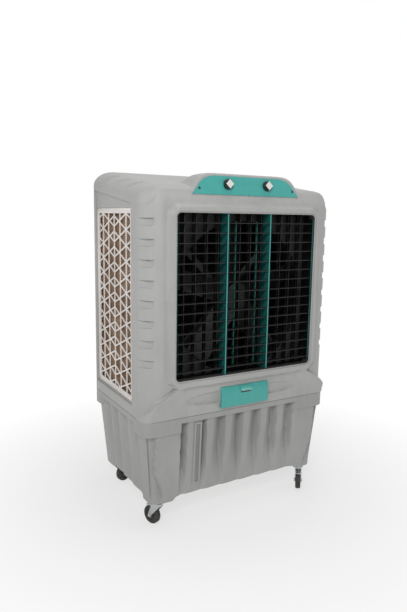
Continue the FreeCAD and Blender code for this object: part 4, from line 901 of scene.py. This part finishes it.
satin_silver = satin_plate("satin_silver")
GRIP_FRONT = 0.0165              # the grips' silver fronts stand further out than this
for side in ("left", "right"):
    knob = finished_copy("knob_" + side + "_finished", "knob_" + side, 0.0009, 3)
    finish_piece(knob, knob_black, 35, "knob_" + side, "knob_" + side)
    knob.data.materials.append(satin_silver)
    assign_faces(knob, 1, lambda x, y, z: (PANEL_FOOT_Y - y) * LEAN_Z +
                 (z - PANEL_FOOT_Z) * LEAN_Y > GRIP_FRONT)

# ---- Fill door ----
# A bin-shaped teal door on two pins, through which water is poured. Its top edge rolls back
# into the cabinet and carries a moulded finger tab.
door_lo, door_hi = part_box("fill_door")
DOOR_X = door_hi.x - 0.0045      # the pins stand out beyond the door at both ends
DOOR_FACET = 0.022               # height of the upper part, which leans back
DOOR_LEAN = 0.0052               # how far it leans back
DOOR_ROLL = 0.005                # height of the rolled top edge
DOOR_UNDER = 0.008               # height of the rounded foot
DOOR_END = 0.004                 # width of the rounded ends
DOOR_FRONT_Y = -0.2832
DOOR_BACK_Y = door_lo.y + 0.0040


def mould_door(points):
    """Lean the door's upper part back, roll its top edge over and round its ends in."""
    x, y, z = points.T
    depth = DOOR_BACK_Y - DOOR_FRONT_Y
    share = (y - DOOR_FRONT_Y) / depth
    facet = np.clip((z - (door_hi.z - DOOR_FACET)) / (DOOR_FACET - DOOR_ROLL), 0, 1)
    over = np.clip((z - (door_hi.z - DOOR_ROLL)) / DOOR_ROLL, 0, 1)
    under = np.clip((door_lo.z + DOOR_UNDER - z) / DOOR_UNDER, 0, 1)
    back = DOOR_LEAN * facet + (depth - DOOR_LEAN) * (1 - np.sqrt(1 - 0.995 * over ** 2))
    back = back + 0.006 * (1 - np.sqrt(1 - 0.99 * under ** 2))
    ends = np.clip((np.abs(x) - (DOOR_X - DOOR_END)) / DOOR_END, 0, 1)
    back = back + 0.004 * (1 - np.sqrt(1 - 0.99 * ends ** 2))
    belly = 0.0015 * (1 - ((z - door_lo.z) / (door_hi.z - door_lo.z) * 2 - 1) ** 2)
    y = y + (1 - share) * (np.minimum(back, depth * 0.9) + 0.0015 - belly)
    return np.stack([x, y, z], axis=1)


door = lined_block("fill_door_skin",
                   both_ways(fill_places([0.0, 0.100, DOOR_X - DOOR_END, DOOR_X - 0.0022,
                                          DOOR_X - 0.0008, DOOR_X], 0.010)),
                   [DOOR_FRONT_Y, (DOOR_FRONT_Y + DOOR_BACK_Y) / 2, DOOR_BACK_Y],
                   fill_places([door_lo.z, door_lo.z + 0.002, door_lo.z + DOOR_UNDER,
                                door_hi.z - DOOR_FACET,
                                door_hi.z - DOOR_FACET + 0.0012, door_hi.z - DOOR_ROLL,
                                door_hi.z - 0.003, door_hi.z - 0.0013, door_hi.z - 0.0004,
                                door_hi.z], 0.0040))
write_points(door, mould_door(read_points(door)))
finish_piece(door, teal_gloss, 50, "fill_door", "fill_door")
# Behind the front, the door has pins at its foot and a tray that carries the water in.
tray = finished_copy("fill_door_tray", "fill_door", 0.0006)
finish_piece(tray, teal_gloss, 35, "fill_door", "fill_door")

# The finger tab lies on the upper part and flares out at its foot into a lip for the fingers.
TAB_X = 0.0260
TAB_SIDE = ((0.0070, -0.0030), (0.0026, -0.0030), (-0.0004, -0.0140), (-0.0077, -0.0205),
            (-0.0075, -0.0228), (0.0010, -0.0190), (0.0070, -0.0190))
deselect_all()
bpy.ops.mesh.primitive_cylinder_add(vertices=len(TAB_SIDE), radius=1.0, depth=2.0)
tab = bpy.context.object
tab.name = "fill_door_tab"
points = read_points(tab)
turns = np.arctan2(-points[:, 0], points[:, 1]) / (2 * math.pi) * len(TAB_SIDE)
outline = np.array(TAB_SIDE)[np.round(turns).astype(int) % len(TAB_SIDE)]
points = np.stack([np.sign(points[:, 2]) * TAB_X, DOOR_FRONT_Y + outline[:, 0],
                   door_hi.z + outline[:, 1]], axis=1)
write_points(tab, points)
round_edges(tab, 0.0008, 3)
finish_piece(tab, teal_gloss, 40, "fill_door", "fill_door")
# The lip is painted paler as a painted highlight, and made shinier than the rest of the door.
teal_painted_highlight = moulded_plastic("teal_painted_highlight", "#6DBBB4", "#65B4AD", "#76C2BB", 0.16, 1.6, 0.00005, 0.5)
tab.data.materials.append(teal_painted_highlight)
assign_faces(tab, 1, lambda x, y, z: (y < DOOR_FRONT_Y - 0.0008) & (z > door_hi.z - 0.0226))
# Under the lip the door is hollowed for the fingertips; a black block there is painted shadow.
lip_shadow_block = plain_block("fill_door_lip_shadow", (0.0, DOOR_FRONT_Y + 0.0042, door_hi.z - 0.0262),
                     (2 * TAB_X * 0.92, 0.0092, 0.0100))
round_edges(lip_shadow_block, 0.0008, 2)
finish_piece(lip_shadow_block, knob_black, 40, "fill_door", "fill_door")

# ---- Pads ----
# Three panels of glued, cross-fluted paper soaked in resin. Neighbouring sheets slope opposite
# ways, which shows as a herringbone of small mouths, darkened as painted shade, between brown paper edges.


SHEET = 0.0075                   # thickness of one sheet of paper
FLUTE = 0.0085                   # height of one flute
RIDGE = 2 * SHEET                # one ridge to each pair of sheets
PAD_THICK = 0.060


def fluted_paper(name, stained, plain, clean, mouth_shade):
    """Resin-soaked paper whose flutes slope alternately up and down, with mouths darkened as painted shade.
    """
    material, tree, place = start_material(name)
    parts = add_node(tree, "SeparateXYZ", {}, {"Vector": place})
    along = calculate(tree, "ADD", parts.outputs["X"], parts.outputs["Y"])
    drift = calculate(tree, "MULTIPLY_ADD", noise(tree, place, 24.0, 2.0), 0.006, along)
    fold = calculate(tree, "PINGPONG", drift, SHEET)
    slope = calculate(tree, "MULTIPLY_ADD", fold, 1.1, parts.outputs["Z"])
    flute = calculate(tree, "SINE", calculate(tree, "MULTIPLY", slope, 2 * math.pi / FLUTE))
    sheet = calculate(tree, "COMPARE", calculate(tree, "DIVIDE", fold, SHEET), 0.5, 0.36)
    mouth = calculate(tree, "MULTIPLY", flute, sheet)
    stain = noise(tree, place, 9.0, 5.0, 0.65)
    tone = three_colours(tree, stain, (0.35, stained), (0.52, plain), (0.68, clean))
    # The flute mouths are mixed towards a dark colour as painted shade.
    depth = map_range(tree, mouth, -0.7, 0.5, 0.72, 0.0)
    return end_material(material, {"Roughness": 0.88, "IOR": 1.45},
                        {"Base Color": mix_colours(tree, depth, tone, mouth_shade),
                         "Normal": bumps(tree, mouth, 0.9, 0.002)})


# Outer side: pale brown with stains. Inner side: almost black, painted shade that keeps the outlet dark.
pad_paper = fluted_paper("resin_paper", "#98795E", "#B39478", "#CBAC90", "#423126")
paper_painted_shade = fluted_paper("paper_painted_shade", "#1E1813", "#27201A", "#2F2821", "#0C0A08")
pad_lo, pad_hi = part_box("cooling_pads")


def fluted_pad(name, axis, outward, low, high):
    """One pad, whose outer face rises and falls in upright ridges."""
    face = pad_hi.x if axis == 0 else pad_hi.y
    near, far = sorted((outward * face, outward * (face - PAD_THICK)))
    along = fill_places([low, high], RIDGE / 6)
    depth = [near, (near + far) / 2, far]
    levels = fill_places([pad_lo.z, pad_hi.z], 0.024)
    pad = lined_block(name, depth if axis == 0 else along, along if axis == 0 else depth, levels)
    points = read_points(pad)
    u = points[:, 1 - axis]
    outer = np.abs(points[:, axis] - outward * face) < TINY
    wobble = 0.0016 * np.sin(points[:, 2] * 41.0 + u * 7.0) + 0.0009 * np.sin(points[:, 2] * 97.0)
    ridge = 0.0012 * (1 - np.cos(2 * np.pi * (u + wobble) / RIDGE))
    points[:, axis] -= np.where(outer, outward * ridge, 0)
    write_points(pad, points)
    finish_piece(pad, pad_paper, 60, "cabinet", "cooling_pads")
    # The inner faces take the near-black paper as painted shade.
    pad.data.materials.append(paper_painted_shade)
    inner = face - PAD_THICK + 0.001
    assign_faces(pad, 1, lambda *centre: np.abs(centre[axis]) < inner)


fluted_pad("cooling_pad_left", 0, -1, pad_lo.y, 0.235)
fluted_pad("cooling_pad_right", 0, 1, pad_lo.y, 0.235)
fluted_pad("cooling_pad_back", 1, 1, -0.331, 0.331)

# ---- Grilles ----
# Flat moulded lattices hold the pads in their bays. They screw on at the corners and are the
# palest part of the cooler, with a slight warm tint.
grille_ivory = moulded_plastic("grille_ivory", "#E6E0DC", "#DAD2CC", "#EFEAE7", 0.42, 1.6, 0.0002)
finish_copies(grille_ivory, 0.0008, "pad_grilles")

# ---- Water gear ----
# A grey gauge strip in the front wall, a float valve with its ball, and a submersible pump that
# feeds the spreader pipes over the pads. The power cable leaves through a gland.
gauge_film = moulded_plastic("gauge_film", "#767B7A", "#6C7170", "#808584", 0.22, 1.2, 0.0001, 0.4)
finish_copies(gauge_film, 0.0016, "level_gauge")


def pick_facing(piece, axis):
    """Enter edit mode with only the faces selected that look back along an axis."""
    pick(piece, "FACE", [p.normal[axis] < -0.9 for p in piece.data.polygons])


# A raised frame, moulded in one with the tank, runs around the gauge and follows the wall's slope.
gauge_lo, gauge_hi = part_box("level_gauge")
FRAME_EDGE = 0.0085
gauge_frame = plain_block("gauge_frame",
                          ((gauge_lo.x + gauge_hi.x) / 2, 0.0010, (gauge_lo.z + gauge_hi.z) / 2),
                          (gauge_hi.x - gauge_lo.x + 2 * FRAME_EDGE, 0.0044,
                           gauge_hi.z - gauge_lo.z + 2 * FRAME_EDGE))
pick_facing(gauge_frame, 1)
bpy.ops.mesh.inset(thickness=FRAME_EDGE - 0.0006)
bpy.ops.mesh.extrude_region_move(TRANSFORM_OT_translate={"value": (0.0, 0.0036, 0.0)})
bpy.ops.object.mode_set(mode="OBJECT")
points = read_points(gauge_frame)
share = (gauge_hi.z - points[:, 2]) / (gauge_hi.z - gauge_lo.z)
points[:, 1] += gauge_lo.y + share * (gauge_hi.y - 0.0041 - gauge_lo.y)
write_points(gauge_frame, points)
round_edges(gauge_frame, 0.0012, 3)
finish_piece(gauge_frame, tank_polyethylene, 35, "cabinet", "water_tank")
# White acetal and polystyrene: bright and smooth, since it isn't seen from outside.
valve_white = moulded_plastic("valve_white", "#E4E4DF", "#D6D6D0", "#EFEFEA", 0.32, 1.4, 0.0001)
finish_copies(valve_white, 0.0006, "float_valve", "float_arm")
# Pump body and pipes, all in a blue-grey plain polypropylene.
pump_grey = moulded_plastic("pump_grey", "#5D6870", "#525C64", "#6A757D", 0.40, 1.4, 0.0002)
finish_copies(pump_grey, 0.0008, "pump_and_pipes")
finish_copies(louver_black, 0.0006, "cable_gland")

# ---- Drain plug ----
# A push-in rubber bung with a grip flange closes the hole in the middle of the tub's floor.
deselect_all()
bpy.ops.mesh.primitive_cylinder_add(vertices=48, radius=0.0135, depth=0.007, location=(0.0, 0.0, 0.1225))
plug = bpy.context.object
plug.name = "drain_plug"
bpy.ops.object.transform_apply(location=True)
pick_facing(plug, 2)
bpy.ops.mesh.extrude_region_move()
bpy.ops.transform.resize(value=(1.38, 1.38, 1.0))
bpy.ops.mesh.extrude_region_move(TRANSFORM_OT_translate={"value": (0.0, 0.0, -0.004)})
bpy.ops.mesh.inset(thickness=0.007)
bpy.ops.mesh.extrude_region_move(TRANSFORM_OT_translate={"value": (0.0, 0.0, 0.0022)})
bpy.ops.object.mode_set(mode="OBJECT")
round_edges(plug, 0.0006, 2)


def dusty_rubber(name, colour, dust):
    """Rubber: dark, dull, and greyed by dust in its fine texture."""
    material, tree, place = start_material(name)
    dirt = noise(tree, place, 55.0, 6.0, 0.7)
    share = map_range(tree, dirt, 0.45, 0.75, 0.0, 0.5)
    return end_material(material, {"IOR": 1.52},
                        {"Base Color": mix_colours(tree, share, colour, dust),
                         "Roughness": map_range(tree, dirt, 0.0, 1.0, 0.45, 0.85),
                         "Normal": bumps(tree, dirt, 0.3, 0.0003)})


wheel_rubber = dusty_rubber("wheel_rubber_black", "#1E1E1B", "#57554D")
finish_piece(plug, wheel_rubber, 35, "cabinet", "water_tank")

# ---- Castors ----
# Four plated swivel castors bolted under the tub. Tyre and hub are moulded as one black wheel.
# The front pair has stamped brake pedals over the tyres.
finish_copies(zinc_plate, 0.0006, "castor_plates")
for corner in ("front_left", "front_right", "rear_left", "rear_right"):
    finish_copies(zinc_plate, 0.0006, "castor_fork_" + corner)
    finish_copies(wheel_rubber, 0.0008, "castor_wheel_" + corner)
finish_copies(zinc_plate, 0.0006, "brake_pedal_front_left", "brake_pedal_front_right")

# ---- Screws ----
# Small screws in the panel and at the corners of the grilles, plated like the castors but
# brighter. The two in the panel have dark heads.
screw_steel = sheet_metal("screw_zinc", "#B9BBBA", "#D5D6D4", 0.24, 1.0, 0.9)
finish_copies(screw_steel, 0.0002, "cover_screws")
screws = bpy.data.objects["cover_screws_finished"]
screws.data.materials.append(knob_black)
assign_faces(screws, 1, lambda x, y, z: (y < -0.23) & (z > 1.30))

# ---- Floor, light and camera ----
# A pale studio floor and backdrop. Soft light comes from above and from the left front. The
# camera stands about two and a half metres away, off the left corner, at chest height.
deselect_all()
bpy.ops.mesh.primitive_plane_add(size=30.0, location=(0.0, 0.0, 0.0))
floor = bpy.context.object
floor.name = "studio_floor"
paper, tree, place = start_material("backdrop_paper")
catch = add_node(tree, "BsdfDiffuse", {"Color": linear("#F4F4F3")})
white = add_node(tree, "Emission", {"Color": linear("#FFFFFF"), "Strength": 1.0})
distance = add_node(tree, "VectorMath", {"operation": "LENGTH"}, {0: place}).outputs["Value"]
far = map_range(tree, distance, 0.45, 1.4, 0.62, 1.0)
blend = add_node(tree, "MixShader", {}, {0: far, 1: catch, 2: white})
add_node(tree, "OutputMaterial", {}, {"Surface": blend})
floor.data.materials.append(paper)

world = bpy.data.worlds.new("studio")
bpy.context.scene.world = world
world.use_nodes = True
tree = world.node_tree
tree.nodes.clear()
seen = add_node(tree, "LightPath").outputs
straight = calculate(tree, "MAXIMUM", seen["Is Camera Ray"], seen["Is Transmission Ray"])
any_view = calculate(tree, "MAXIMUM", straight, seen["Is Glossy Ray"])
dim, backdrop = (add_node(tree, "Background", {"Color": (1.0, 1.0, 1.0, 1.0), "Strength": strength})
                 for strength in (0.26, 1.0))
mix = add_node(tree, "MixShader", {}, {0: any_view, 1: dim, 2: backdrop})
add_node(tree, "OutputWorld", {}, {"Surface": mix})


def soft_light(name, place, aim, size, power):
    """A square area lamp at a place, aimed at a point."""
    lamp = bpy.data.lights.new(name, "AREA")
    lamp.size = size
    lamp.energy = power
    holder = bpy.data.objects.new(name, lamp)
    bpy.context.scene.collection.objects.link(holder)
    holder.location = place
    holder.rotation_euler = (Vector(aim) - Vector(place)).to_track_quat("-Z", "Y").to_euler()


soft_light("overhead", (0.2, -0.3, 3.4), (0.0, 0.0, 0.8), 1.6, 22)
soft_light("left_window", (-2.3, -2.9, 2.8), (0.0, 0.0, 0.8), 1.3, 62)

camera = bpy.data.objects.new("camera", bpy.data.cameras.new("camera"))
bpy.context.scene.collection.objects.link(camera)
bpy.context.scene.camera = camera
yaw, pitch, roll = (math.radians(a) for a in (30.354, 9.088, 0.902))
forward = Vector((math.sin(yaw) * math.cos(pitch), math.cos(yaw) * math.cos(pitch), -math.sin(pitch)))
level = Vector((math.cos(yaw), -math.sin(yaw), 0.0))
upward = level.cross(forward)
right = math.cos(roll) * level + math.sin(roll) * upward
upward = -math.sin(roll) * level + math.cos(roll) * upward
camera.matrix_world = Matrix((right, upward, -forward)).transposed().to_4x4()
camera.location = (-1.2486, -2.0645, 1.214)
camera.data.sensor_width = 36.0
camera.data.lens = 32.75
bpy.context.scene.view_settings.view_transform = "Standard"
